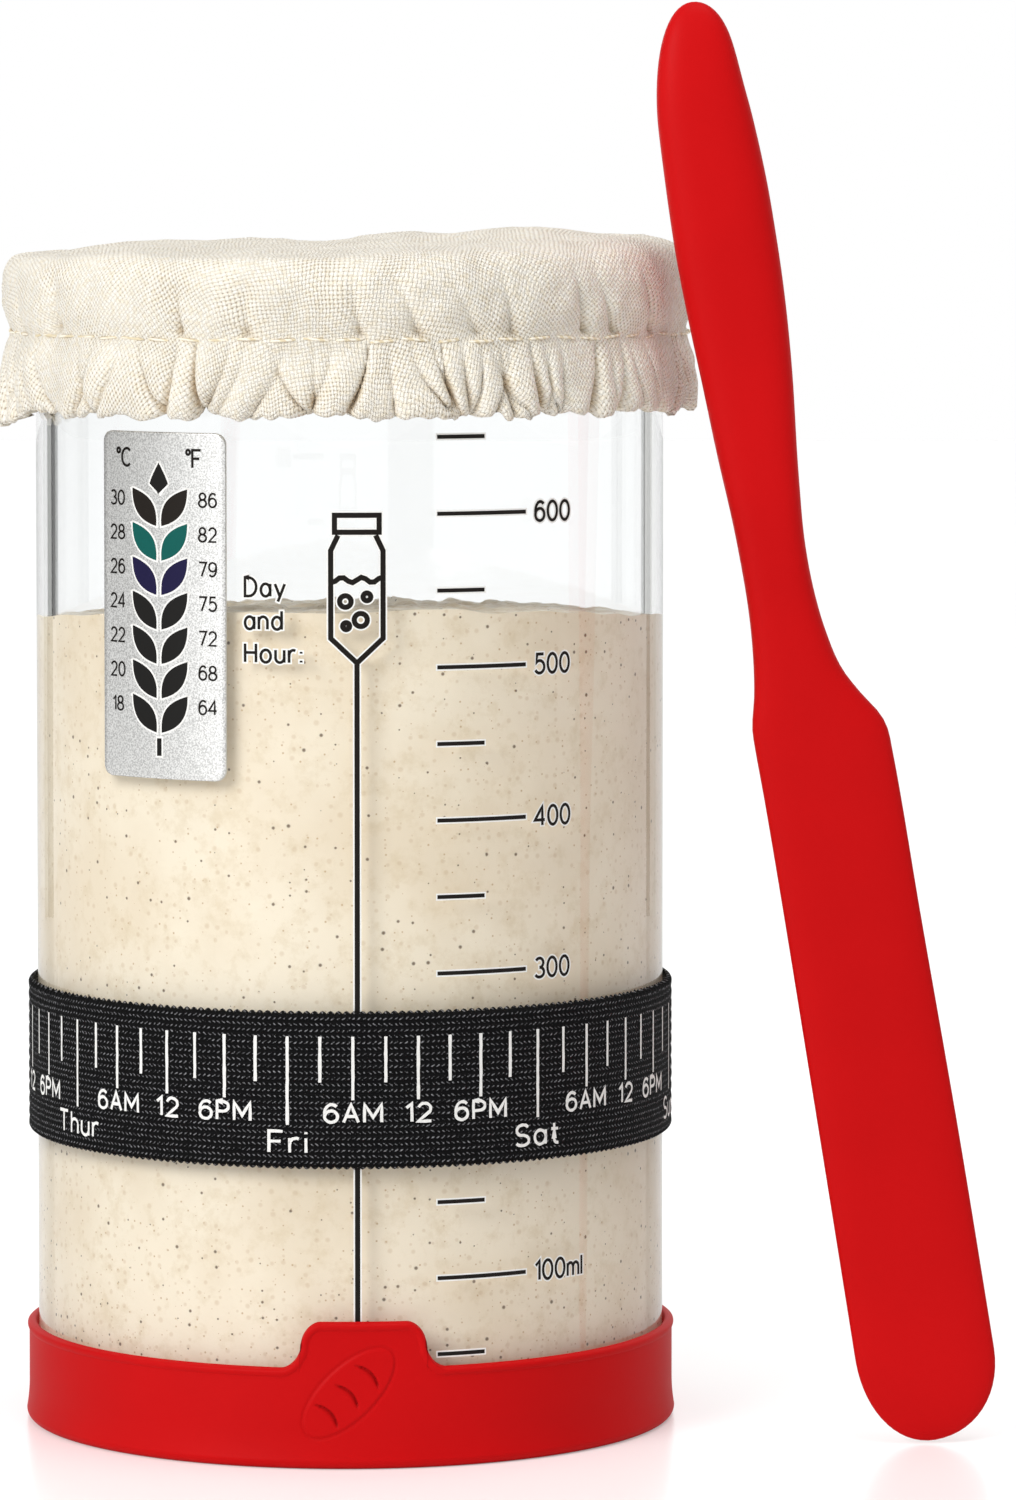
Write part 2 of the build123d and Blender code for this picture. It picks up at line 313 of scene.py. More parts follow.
def emptied(owner: Material | World) -> NodeTree:
    """Give a material or a world an empty tree of nodes.

    Args:
        owner: the material or world.

    Returns:
        Its nodes.
    """
    owner.use_nodes = True
    owner.node_tree.nodes.clear()
    return owner.node_tree


@dataclass(frozen=True)
class Finish:
    """A surface finish that becomes one material, its pattern sizes in millimetres."""

    name: str = "finish"
    roughness: float = 0.5

    def feeds(self, tree: NodeTree) -> Inputs:
        """What the main shader's inputs get besides the roughness."""
        return {}

    def ending(self, tree: NodeTree, shader: Node) -> Node:
        """The node that is seen as the surface: the main shader, unless a finish goes past it."""
        return shader

    def build(self) -> Material:
        """Make the node material.

        Returns:
            The material.
        """
        made = bpy.data.materials.new(self.name)
        tree = emptied(made)
        shader = add(tree, "BsdfPrincipled", {"Roughness": self.roughness, **self.feeds(tree)})
        add(tree, "OutputMaterial", {"Surface": self.ending(tree, shader)})
        return made


@dataclass(frozen=True)
class Silicone(Finish):
    """Moulded silicone rubber: dense colour, satin skin, softened highlights."""

    name: str = "silicone_red_satin"
    roughness: float = 0.46
    colour: str = "cc0d10"
    shade: str = "c40b0e"
    cloud: float = 30.0
    ior: float = 1.41
    sheen_level: float = 0.09
    skin_grain: float = 0.35
    skin_depth: float = 0.006
    # Colour of the painted shade in grooves and recesses.
    carved: str = "8a0608"
    carved_reach: float = 0.9
    carved_light: Pair = (0.5, 0.92)

    def feeds(self, tree: NodeTree) -> Inputs:
        """A faintly clouded colour with painted shade that darkens it where little light gets in, and a
        fine grain.

        Args:
            tree: the material's nodes.

        Returns:
            The main shader's inputs.
        """
        place = add(tree, "TexCoord").outputs["Object"]
        cloud = add(tree, "TexNoise", {"Vector": place, "Scale": 1 / (self.cloud * MM)})
        tint = add(tree, "ValToRGB", {0: cloud}, stops=[(0.35, self.shade), (0.65, self.colour)])
        # Painted shade: ambient occlusion darkens the colour in the grooves, the loaf mark and other
        # recesses.
        reach = {"Distance": self.carved_reach * MM}
        light = add(tree, "AmbientOcclusion", reach, samples=8, only_local=True).outputs["AO"]
        low, high = self.carved_light
        deep = add(tree, "MapRange", {0: light, 1: low, 2: high, 3: 1.0, 4: 0.0})
        skin = add(tree, "TexNoise", {"Vector": place, "Scale": 1 / (self.skin_grain * MM)})
        return {
            "Base Color": add(tree, "Mix", {0: deep, 6: tint, 7: linear(self.carved)}, data_type="RGBA"),
            "Normal": add(tree, "Bump", {"Height": skin, "Distance": self.skin_depth * MM}),
            "IOR": self.ior,
            "Specular IOR Level": self.sheen_level,
        }


@dataclass(frozen=True)
class JarGlass(Finish):
    """Soda-lime glass, pressed and fire polished: clear, with bright and dark edge lines."""

    name: str = "soda_lime_glass"
    roughness: float = 0.0
    colour: str = "feffff"
    ior: float = 1.5

    def feeds(self, tree: NodeTree) -> Inputs:
        """Clear glass all through."""
        return {"Base Color": linear(self.colour), "Transmission Weight": 1.0, "IOR": self.ior}

    def ending(self, tree: NodeTree, shader: Node) -> Node:
        """Let light that only lights what is inside pass straight through.

        Args:
            tree: the material's nodes.
            shader: the glass itself.

        Returns:
            The mix of both.
        """
        ray = add(tree, "LightPath").outputs
        rays = {0: ray["Is Shadow Ray"], 1: ray["Is Diffuse Ray"]}
        straight = add(tree, "Math", rays, operation="MAXIMUM")
        clear = add(tree, "BsdfTransparent", {"Color": linear(self.colour)})
        return add(tree, "MixShader", {0: straight, 1: shader, 2: clear})


@dataclass(frozen=True)
class Spots:
    """One scatter of round spots: pitch, size and share of cells, and how each is stained."""

    pitch: float
    size: float
    share: float
    stain: str
    strength: float


@dataclass(frozen=True)
class Dough(Finish):
    """Fed starter against glass: moist cream paste with pinholes and flecks of bran."""

    name: str = "starter_dough"
    roughness: float = 0.42
    ior: float = 1.4
    pale: str = "f1e4cd"
    warm: str = "e8d8be"
    curd: str = "d8c4a1"
    # Paler colour of the top: partly foam, partly painted light.
    foam: str = "fbf6ea"
    cloud: float = 16.0
    curd_size: float = 3.2
    curd_share: float = 0.5
    foam_band: float = 2.4
    foam_stretch: Triple = (0.4, 1.0, 1.0)
    foam_slope: Pair = (0.55, 0.85)
    lump: float = 1.6
    lump_depth: float = 0.06
    crowd_heights: Pair = (30.0, 6.0)
    crowd: float = 2.3
    scatters: tuple[Spots, ...] = (
        Spots(1.5, 0.24, 0.36, "c3a478", 0.3),
        Spots(1.1, 0.13, 0.2, "c3a478", 0.85),
        Spots(2.0, 0.12, 0.19, "614a30", 0.9),
    )

    def paste(self, tree: NodeTree, place: NodeSocket) -> Node:
        """Colour of the plain paste: curds in a clouded cream, and where it faces up a paler colour that is
        partly foam and partly painted light on the top.

        Args:
            tree: the material's nodes.
            place: the place on the object.

        Returns:
            The colour.
        """
        cloud = add(tree, "TexNoise", {"Vector": place, "Scale": 1 / (self.cloud * MM), "Detail": 4.0})
        colour = add(tree, "ValToRGB", {0: cloud}, stops=[(0.34, self.warm), (0.6, self.pale)])
        feeds = {"Vector": place, "Scale": 1 / (self.curd_size * MM), "Detail": 6.0, "Roughness": 0.7}
        curd = add(tree, "TexNoise", feeds)
        patchy = add(tree, "MapRange", {0: curd, 1: 0.5, 2: 0.68, 3: 0.0, 4: self.curd_share})
        colour = add(tree, "Mix", {0: patchy, 6: colour, 7: linear(self.curd)}, data_type="RGBA")
        drawn = add(tree, "VectorMath", {0: place, 1: self.foam_stretch}, operation="MULTIPLY")
        feeds = {"Vector": drawn, "Scale": 1 / (self.foam_band * MM), "Detail": 4.0, "Distortion": 0.8}
        stops = [(0.3, self.curd), (0.5, self.pale), (0.72, self.foam)]
        foam_and_top_light_tone = add(tree, "ValToRGB", {0: add(tree, "TexNoise", feeds)}, stops=stops)
        # Faces that point up turn paler: partly foam, partly painted light on the top.
        upward = add(tree, "SeparateXYZ", {0: add(tree, "NewGeometry").outputs["Normal"]}).outputs[2]
        steep, level = self.foam_slope
        foam_and_top_light_share = add(tree, "MapRange", {0: upward, 1: steep, 2: level, 3: 0.0, 4: 1.0})
        return add(tree, "Mix", {0: foam_and_top_light_share, 6: colour, 7: foam_and_top_light_tone}, data_type="RGBA")

    def feeds(self, tree: NodeTree) -> Inputs:
        """The paste with its scatters of spots, each in some cells of a Voronoi pattern.

        A spot fades from its middle to a reach that differs from cell to cell.  The deeper a
        place lies in the jar, the more of its cells have a spot.

        Args:
            tree: the material's nodes.

        Returns:
            The main shader's inputs.
        """
        place = add(tree, "TexCoord").outputs["Object"]
        flat = add(tree, "UVMap", uv_map="pattern").outputs[0]
        colour = self.paste(tree, place)
        height = add(tree, "SeparateXYZ", {0: place}).outputs[2]
        high, low = (at * MM for at in self.crowd_heights)
        crowd = add(tree, "MapRange", {0: height, 1: high, 2: low, 3: 1.0, 4: self.crowd})
        for spots in self.scatters:
            feeds = {"Vector": flat, "Scale": 1 / spots.pitch}
            cells = add(tree, "TexVoronoi", feeds, voronoi_dimensions="2D")
            chance = add(tree, "SeparateColor", {0: cells.outputs["Color"]}).outputs
            feeds = {0: chance[1], 1: spots.size, 2: spots.size / 3}
            reach = add(tree, "Math", feeds, operation="MULTIPLY_ADD")
            near = add(tree, "Math", {0: cells.outputs["Distance"], 1: reach}, operation="DIVIDE")
            soft = add(tree, "MapRange", {0: near, 1: 1.0, 2: 0.45, 3: 0.0, 4: spots.strength})
            limit = add(tree, "Math", {0: crowd, 1: spots.share}, operation="MULTIPLY")
            kept = add(tree, "Math", {0: chance[0], 1: limit}, operation="LESS_THAN")
            spot = add(tree, "Math", {0: soft, 1: kept}, operation="MULTIPLY")
            colour = add(tree, "Mix", {0: spot, 6: colour, 7: linear(spots.stain)}, data_type="RGBA")
        lumps = add(tree, "TexNoise", {"Vector": place, "Scale": 1 / (self.lump * MM), "Detail": 3.0})
        dented = add(tree, "Math", {0: lumps, 1: spot}, operation="SUBTRACT")
        relief = add(tree, "Bump", {"Height": dented, "Distance": self.lump_depth * MM})
        return {"Base Color": colour, "Normal": relief, "IOR": self.ior}


@dataclass(frozen=True)
class Ink(Finish):
    """Screened enamel or rubber ink: one even coat, with the screen's fine edge and gloss."""

    name: str = "ink_black_enamel"
    roughness: float = 0.45
    colour: str = "17120e"
    grain: float = 0.2
    depth: float = 0.004
    gloss: float = 0.15
    shades: Pair = (0.86, 1.08)

    def feeds(self, tree: NodeTree) -> Inputs:
        """One colour, a little lighter and darker with the grain of the screen.

        Args:
            tree: the material's nodes.

        Returns:
            The main shader's inputs.
        """
        place = add(tree, "TexCoord").outputs["Object"]
        screen = add(tree, "TexNoise", {"Vector": place, "Scale": 1 / (self.grain * MM)})
        shade = add(tree, "MapRange", {0: screen, 3: self.shades[0], 4: self.shades[1]})
        base = linear(self.colour)[:3]
        return {
            "Base Color": add(tree, "VectorMath", {0: base, 3: shade}, operation="SCALE"),
            "Normal": add(tree, "Bump", {"Height": screen, "Distance": self.depth * MM}),
            "Specular IOR Level": self.gloss,
        }


@dataclass(frozen=True)
class SilverFilm(Finish):
    """Aluminised polyester film: satin silver with a fine printed sparkle."""

    name: str = "strip_film_silver"
    roughness: float = 0.3
    metal: float = 0.7
    light: str = "fbfbf9"
    dark: str = "cdcdcb"
    sparkle: float = 0.22
    depth: float = 0.012

    def feeds(self, tree: NodeTree) -> Inputs:
        """The sparkle, drawn coarser than the real flake so that it shows.

        Args:
            tree: the material's nodes.

        Returns:
            The main shader's inputs.
        """
        place = add(tree, "TexCoord").outputs["Object"]
        feeds = {"Vector": place, "Scale": 1 / (self.sparkle * MM), "Detail": 1.0}
        flakes = add(tree, "TexNoise", feeds)
        return {
            "Base Color": add(tree, "ValToRGB", {0: flakes}, stops=[(0.38, self.dark), (0.6, self.light)]),
            "Normal": add(tree, "Bump", {"Height": flakes, "Distance": self.depth * MM}),
            "Metallic": self.metal,
        }


@dataclass(frozen=True)
class Woven(Finish):
    """Plain weave cotton: open cloth whose gaps show as rows of small dark dots of painted shade."""

    name: str = "cloth_plain_weave"
    roughness: float = 0.9
    sheen: float = 0.2
    thread: str = "fffaef"
    slub: str = "f9efda"
    # Painted shade seen through the open gaps of the weave.
    gap: str = "967843"
    gap_widths: Pair = (0.34, 0.86)
    # Colour of the painted shade in creases and hollows.
    hollow: str = "b99a68"
    hollow_reach: float = 2.0
    hollow_light: Pair = (0.82, 0.3)
    hollow_share: float = 0.6
    pitch: float = 0.56
    depth: float = 0.2
    wander: float = 5.0
    wander_scale: float = 0.06
    loose_scale: float = 0.13
    slub_scale: float = 1.2

    def weave(self, tree: NodeTree, flat: NodeSocket) -> tuple[Node, Node]:
        """Height of the weave and the share of open gap.

        Each thread is a half sine, and warp and weft take turns on top.  A gap opens where
        both are low, wider where the cloth is looser.  The pitch is drawn somewhat coarse so
        that it shows.

        Args:
            tree: the material's nodes.
            flat: the place on the flat cloth.

        Returns:
            The height and the gap.
        """
        feeds = {"Vector": flat, "Scale": self.wander_scale, "Detail": 2.0}
        noise = add(tree, "TexNoise", feeds).outputs["Color"]
        feeds = {0: noise, 1: (self.wander,) * 3, 2: flat}
        drawn = add(tree, "VectorMath", feeds, operation="MULTIPLY_ADD")
        turns = add(tree, "VectorMath", {0: drawn, 3: math.pi / self.pitch}, operation="SCALE")
        axes = add(tree, "SeparateXYZ", {0: turns}).outputs
        sines = [add(tree, "Math", {0: axes[i]}, operation="SINE") for i in (0, 1)]
        crests = [add(tree, "Math", {0: sine}, operation="ABSOLUTE") for sine in sines]
        product = add(tree, "Math", {0: sines[0], 1: sines[1]}, operation="MULTIPLY")
        over = add(tree, "MapRange", {0: product, 1: -0.4, 2: 0.4}, interpolation_type="SMOOTHSTEP")
        height = add(tree, "Mix", {0: over, 2: crests[0], 3: crests[1]}, data_type="FLOAT")
        cover = add(tree, "Math", {0: crests[0], 1: crests[1]}, operation="MAXIMUM")
        loose = add(tree, "TexNoise", {"Vector": flat, "Scale": self.loose_scale, "Detail": 3.0})
        small, wide = self.gap_widths
        reach = add(tree, "MapRange", {0: loose, 1: 0.36, 2: 0.66, 3: small, 4: wide})
        return height, add(tree, "MapRange", {0: cover, 1: reach, 2: 0.0, 3: 0.0, 4: 1.0})

    def feeds(self, tree: NodeTree) -> Inputs:
        """The weave over its slubs, with painted shade in its gaps and a browner painted shade in the
        hollows that little light reaches.

        Args:
            tree: the material's nodes.

        Returns:
            The main shader's inputs.
        """
        flat = add(tree, "UVMap", uv_map="pattern").outputs[0]
        height, hole = self.weave(tree, flat)
        slubs = add(tree, "TexNoise", {"Vector": flat, "Scale": self.slub_scale, "Detail": 3.0})
        base = add(tree, "ValToRGB", {0: slubs}, stops=[(0.35, self.slub), (0.6, self.thread)])
        # Painted shade: the open gaps take the dark gap colour, for the shade behind the cloth.
        colour = add(tree, "Mix", {0: hole, 6: base, 7: linear(self.gap)}, data_type="RGBA")
        # Painted shade: ambient occlusion turns the creases and hollows of the cloth browner.
        light = add(tree, "AmbientOcclusion", {"Distance": self.hollow_reach * MM}, samples=8).outputs["AO"]
        bright, dark = self.hollow_light
        painted_crease_mix = add(tree, "MapRange", {0: light, 1: bright, 2: dark, 3: 0.0, 4: self.hollow_share})
        return {
            "Base Color": add(tree, "Mix", {0: painted_crease_mix, 6: colour, 7: linear(self.hollow)}, data_type="RGBA"),
            "Normal": add(tree, "Bump", {"Height": height, "Distance": self.depth * MM}),
            "Sheen Weight": self.sheen,
            "Sheen Roughness": 0.5,
        }


@dataclass(frozen=True)
class Knit(Finish):
    """Black woven elastic: rows of small slanted stitches, with painted glints on their crests."""

    name: str = "elastic_black_knit"
    roughness: float = 0.75
    yarn: str = "080809"
    # Painted highlight on the stitch crests.
    shine: str = "a2a2a6"
    gloss: float = 0.1
    stitch: float = 0.7
    row: float = 0.7846
    depth: float = 0.3
    slant: float = 0.4
    fuzz_scale: float = 3.2

    def feeds(self, tree: NodeTree) -> Inputs:
        """Stitches whose slant swaps from row to row: a sine along times a cosine across.

        Args:
            tree: the material's nodes.

        Returns:
            The main shader's inputs.
        """
        flat = add(tree, "UVMap", uv_map="pattern").outputs[0]
        axes = add(tree, "SeparateXYZ", {0: flat}).outputs
        rise = add(tree, "Math", {0: axes[1], 1: math.pi / self.row}, operation="MULTIPLY")
        swing = add(tree, "Math", {0: rise}, operation="SINE")
        feeds = {0: swing, 1: self.stitch * self.slant, 2: axes[0]}
        slant = add(tree, "Math", feeds, operation="MULTIPLY_ADD")
        run = add(tree, "Math", {0: slant, 1: math.pi / self.stitch}, operation="MULTIPLY")
        along = add(tree, "Math", {0: run}, operation="SINE")
        across = add(tree, "Math", {0: rise}, operation="COSINE")
        loop, crest = (add(tree, "Math", {0: part}, operation="ABSOLUTE") for part in (along, across))
        fuzz = add(tree, "TexNoise", {"Vector": flat, "Scale": self.fuzz_scale, "Detail": 3.0})
        stitches = add(tree, "Math", {0: loop, 1: crest}, operation="MULTIPLY")
        height = add(tree, "Math", {0: stitches, 1: fuzz}, operation="MULTIPLY")
        # Painted highlight: the crests of the stitches take a lighter grey as glints.
        stops = [(0.1, self.yarn), (0.36, self.yarn), (0.66, self.shine)]
        return {
            "Base Color": add(tree, "ValToRGB", {0: height}, stops=stops),
            "Normal": add(tree, "Bump", {"Height": height, "Distance": self.depth * MM}),
            "Specular IOR Level": self.gloss,
        }


@dataclass(frozen=True)
class Thread(Finish):
    """Spun sewing thread: a fine slanting twist along its length."""

    name: str = "thread_cream"
    roughness: float = 0.8
    colour: str = "fdf5e4"
    shade: str = "e6d7b6"
    twist: float = 0.4
    depth: float = 0.05

    def feeds(self, tree: NodeTree) -> Inputs:
        """Slanting bands, one for each turn of the twist.

        Args:
            tree: the material's nodes.

        Returns:
            The main shader's inputs.
        """
        place = add(tree, "TexCoord").outputs["Object"]
        feeds = {"Vector": place, "Scale": 1 / (self.twist * MM) / 6, "Distortion": 1.5}
        ply = add(tree, "TexWave", feeds, bands_direction="DIAGONAL").outputs["Fac"]
        return {
            "Base Color": add(tree, "ValToRGB", {0: ply}, stops=[(0.2, self.shade), (0.7, self.colour)]),
            "Normal": add(tree, "Bump", {"Height": ply, "Distance": self.depth * MM}),
        }


class Pen:
    """A plain single-line alphabet of straight strokes and oval arcs, one unit tall."""

    def __init__(self) -> None:
        """Draw the letters once."""
        line, oval, run = self.line, self.oval, self.run
        bowl = (0.26, 0.34, 0.26, 0.34)
        stem = line(0, 0, 0, 0.68)
        arch = run(oval(0.24, 0.42, 0.24, 0.26, 180, 0), line(0.48, 0))
        self.glyphs: dict[str, list[Grid]] = {
            "0": [oval(0.31, 0.5, 0.31, 0.5)],
            "1": [line(0.06, 0.76, 0.3, 1, 0.3, 0)],
            "2": [run(oval(0.31, 0.7, 0.28, 0.3, 165, -38), line(0.02, 0, 0.62, 0))],
            "3": [oval(0.29, 0.75, 0.25, 0.25, 150, -90), oval(0.29, 0.26, 0.3, 0.26, 90, -150)],
            "4": [line(0.48, 0, 0.48, 1, 0.0, 0.28, 0.64, 0.28)],
            "5": [run(line(0.56, 1, 0.13, 1, 0.09, 0.56), oval(0.29, 0.33, 0.31, 0.33, 120, -150))],
            "6": [oval(0.31, 0.32, 0.29, 0.32), oval(0.34, 0.5, 0.32, 0.5, 48, 188)],
            "7": [line(0.02, 1, 0.6, 1, 0.22, 0)],
            "8": [oval(0.31, 0.76, 0.24, 0.24), oval(0.31, 0.26, 0.3, 0.26)],
            "9": [oval(0.31, 0.68, 0.29, 0.32), oval(0.28, 0.5, 0.32, 0.5, 228, 368)],
            "A": [line(0, 0, 0.33, 1, 0.66, 0), line(0.11, 0.34, 0.55, 0.34)],
            "C": [oval(0.38, 0.5, 0.38, 0.5, 48, 312)],
            "D": [run(line(0, 0, 0, 1, 0.22, 1), oval(0.22, 0.5, 0.42, 0.5, 90, -90), close=True)],
            "F": [line(0.54, 1, 0, 1, 0, 0), line(0, 0.52, 0.46, 0.52)],
            "H": [line(0, 0, 0, 1), line(0.62, 0, 0.62, 1), line(0, 0.52, 0.62, 0.52)],
            "M": [line(0, 0, 0, 1, 0.38, 0.28, 0.76, 1, 0.76, 0)],
            "P": [run(line(0, 0, 0, 1, 0.28, 1), oval(0.28, 0.73, 0.28, 0.27, 90, -90), line(0, 0.46))],
            "S": [run(oval(0.31, 0.74, 0.27, 0.26, 30, 250), oval(0.29, 0.25, 0.3, 0.25, 75, -150))],
            "T": [line(0, 1, 0.66, 1), line(0.33, 1, 0.33, 0)],
            "W": [line(0, 1, 0.22, 0, 0.46, 0.9, 0.7, 0, 0.92, 1)],
            "a": [oval(*bowl), line(0.52, 0.68, 0.52, 0)],
            "d": [oval(*bowl), line(0.52, 1, 0.52, 0)],
            "e": [run(line(0.02, 0.36, 0.52, 0.36), oval(*bowl, 4, 318))],
            "h": [line(0, 0, 0, 1), arch],
            "i": [stem, line(0, 0.88, 0, 0.98)],
            "l": [line(0, 0, 0, 1)],
            "m": [stem, *(run(oval(x, 0.45, 0.2, 0.23, 180, 0), line(x + 0.2, 0)) for x in (0.2, 0.6))],
            "n": [stem, arch],
            "o": [oval(0.28, 0.34, 0.28, 0.34)],
            "r": [stem, oval(0.24, 0.4, 0.24, 0.28, 180, 62)],
            "t": [
                run(line(0.14, 0.95, 0.14, 0.2), oval(0.32, 0.2, 0.18, 0.2, 180, 280)),
                line(0, 0.68, 0.34, 0.68),
            ],
            "u": [run(line(0, 0.68), oval(0.24, 0.26, 0.24, 0.26, 180, 360)), line(0.48, 0.68, 0.48, 0)],
            "y": [line(0, 0.68, 0.27, 0), line(0.54, 0.68, 0.16, -0.28)],
            ":": [line(0.04, 0.02, 0.04, 0.12), line(0.04, 0.5, 0.04, 0.6)],
            "°": [oval(0.13, 0.87, 0.12, 0.13)],
        }

    @staticmethod
    def line(*places: float) -> Grid:
        """A stroke through points given as x, y, x, y."""
        return np.array(places, float).reshape(-1, 2)

    @staticmethod
    def oval(x: float, y: float, wide: float, tall: float, start: float = 90, end: float = 450) -> Grid:
        """An oval arc about a centre, by its half width and half height, angles in degrees."""
        turn = np.radians(np.linspace(start, end, max(4, int(abs(end - start) / ARC_STEP))))
        return np.stack([x + wide * np.cos(turn), y + tall * np.sin(turn)], axis=-1)

    @staticmethod
    def run(*strokes: Grid, close: bool = False) -> Grid:
        """Strokes joined end to end, and back to the start if closed."""
        return np.concatenate(strokes + ((strokes[0][:1],) if close else ()))

    def write(
        self,
        words: str,
        height: float,
        x: float,
        z: float,
        share: float = 0.0,
        track: float = 0.3,
        wide: float = 1.0,
    ) -> list[Grid]:
        """Lay out a word.

        Args:
            words: the letters, figures and spaces.
            height: height of a capital in millimetres.
            x: place along the surface in millimetres.
            z: height of the foot of the letters.
            share: 0 starts at x, 0.5 centres on it and 1 ends there.
            track: gap between letters, as a share of the height.
            wide: width of the letters against their plain width.

        Returns:
            The strokes in millimetres.
        """
        laid, pen = [], 0.0
        for letter in words:
            strokes = [stroke * (wide, 1.0) for stroke in self.glyphs.get(letter, [])]
            laid += [stroke + (pen, 0) for stroke in strokes]
            pen += max((stroke[:, 0].max() for stroke in strokes), default=0.1) + track
        start = x - share * (pen - track) * height
        return [stroke * height + (start, z) for stroke in laid]


def ribbons(
    name: str,
    strokes: Sequence[Grid],
    width: float,
    radius: float,
    waver: float = 0.0,
    spread: float = 0.0,
) -> Object:
    """Lay strokes as flat ribbons on a cylinder about the jar's axis.

    Each stroke is cut into short steps, and its two edges stand half the width off along
    the mean of the neighbouring steps' normals.

    Args:
        name: the object's name.
        strokes: points along the surface and up, in millimetres.
        width: width of the ribbons.
        radius: radius that the print lies on.
        waver: how much the width changes along a stroke, as a share.
        spread: how far the ribbons run on past the ends of their strokes.

    Returns:
        One object with all the ribbons.
    """
    rng = np.random.default_rng(11)
    points, faces, count = [], [], 0
    for stroke in strokes:
        cuts = [
            np.linspace(a, b, max(2, int(np.hypot(*(b - a)) / RIBBON_STEP) + 1))[:-1]
            for a, b in zip(stroke, stroke[1:])
        ]
        path = np.concatenate([*cuts, stroke[-1:]])
        looped = np.allclose(path[0], path[-1])
        way = np.diff(path, axis=0)
        way /= np.maximum(np.linalg.norm(way, axis=1, keepdims=True), TINY)
        if spread and not looped:
            path[0] -= way[0] * spread
            path[-1] += way[-1] * spread
        ends = (way[-1:], way[:1]) if looped else (way[:1], way[-1:])
        mean = np.concatenate([ends[0], way]) + np.concatenate([way, ends[1]])
        mean /= np.maximum(np.linalg.norm(mean, axis=1, keepdims=True), 0.3)
        square = np.sum(mean * np.concatenate([way, ends[1]]), axis=1, keepdims=True)
        side = np.stack([-mean[:, 1], mean[:, 0]], axis=-1) / np.maximum(square, 0.5)
        half = width / 2 * (1 + waver * rng.uniform(-1, 1, (len(path), 2, 1)))
        edges = path[:, None] + side[:, None] * half * np.array([[1.0], [-1.0]])
        points.append(edges.reshape(-1, 2))
        faces.append(grid_faces(len(path), 2) + count)
        count += 2 * len(path)
    flat = np.concatenate(points)
    made = mesh_object(name, round_jar(flat[:, 0] / radius, radius, flat[:, 1]), np.concatenate(faces))
    with editing(made) as work:
        turned = [face for face in work.faces if face.normal.dot(face.calc_center_median() * LEVEL) < 0]
        bmesh.ops.reverse_faces(work, faces=turned)
    return made


def sew(name: str, angle: Grid, radius: Grid, height: Grid, thick: float) -> Object:
    """Make short rounded threads, each a closed tube that tapers to a point at both ends.

    Along a thread its radius is the square root of one less the fourth power of the distance
    from its middle.

    Args:
        name: the object's name.
        angle: angles along each thread's middle line, one row for each thread.
        radius: the line's distance from the axis.
        height: the line's height.
        thick: radius of a thread at its middle.

    Returns:
        One object with all the threads.
    """
    t = np.linspace(-1, 1, angle.shape[1])[None, :, None]
    around = np.linspace(0, TURN, THREAD_SIDES, endpoint=False)
    body = thick * np.sqrt(np.clip(1 - t**4, 0, 1))
    out, up = radius[..., None] + body * np.cos(around), height[..., None] + body * np.sin(around)
    points = round_jar(angle[..., None], out, up)
    rows, ring = points.shape[1:3]
    order = np.arange(rows * ring).reshape(rows, ring).T.ravel()
    single = order[grid_faces(ring, rows, Close.AROUND)]
    faces = np.concatenate([single + rows * ring * i for i in range(len(points))])
    return join_points(mesh_object(name, points, faces))


def finish_with(made: Object, material: Material, body: str) -> Object:
    """Give a piece its material and its body, and log both.

    Args:
        made: the piece.
        material: its finish.
        body: the CAD body that it rides on.

    Returns:
        The same piece.
    """
    made.data.materials.clear()
    made.data.materials.append(material)
    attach(made, body)
    log.info("%s rides on %s with %s", made.name, body, material.name)
    return made


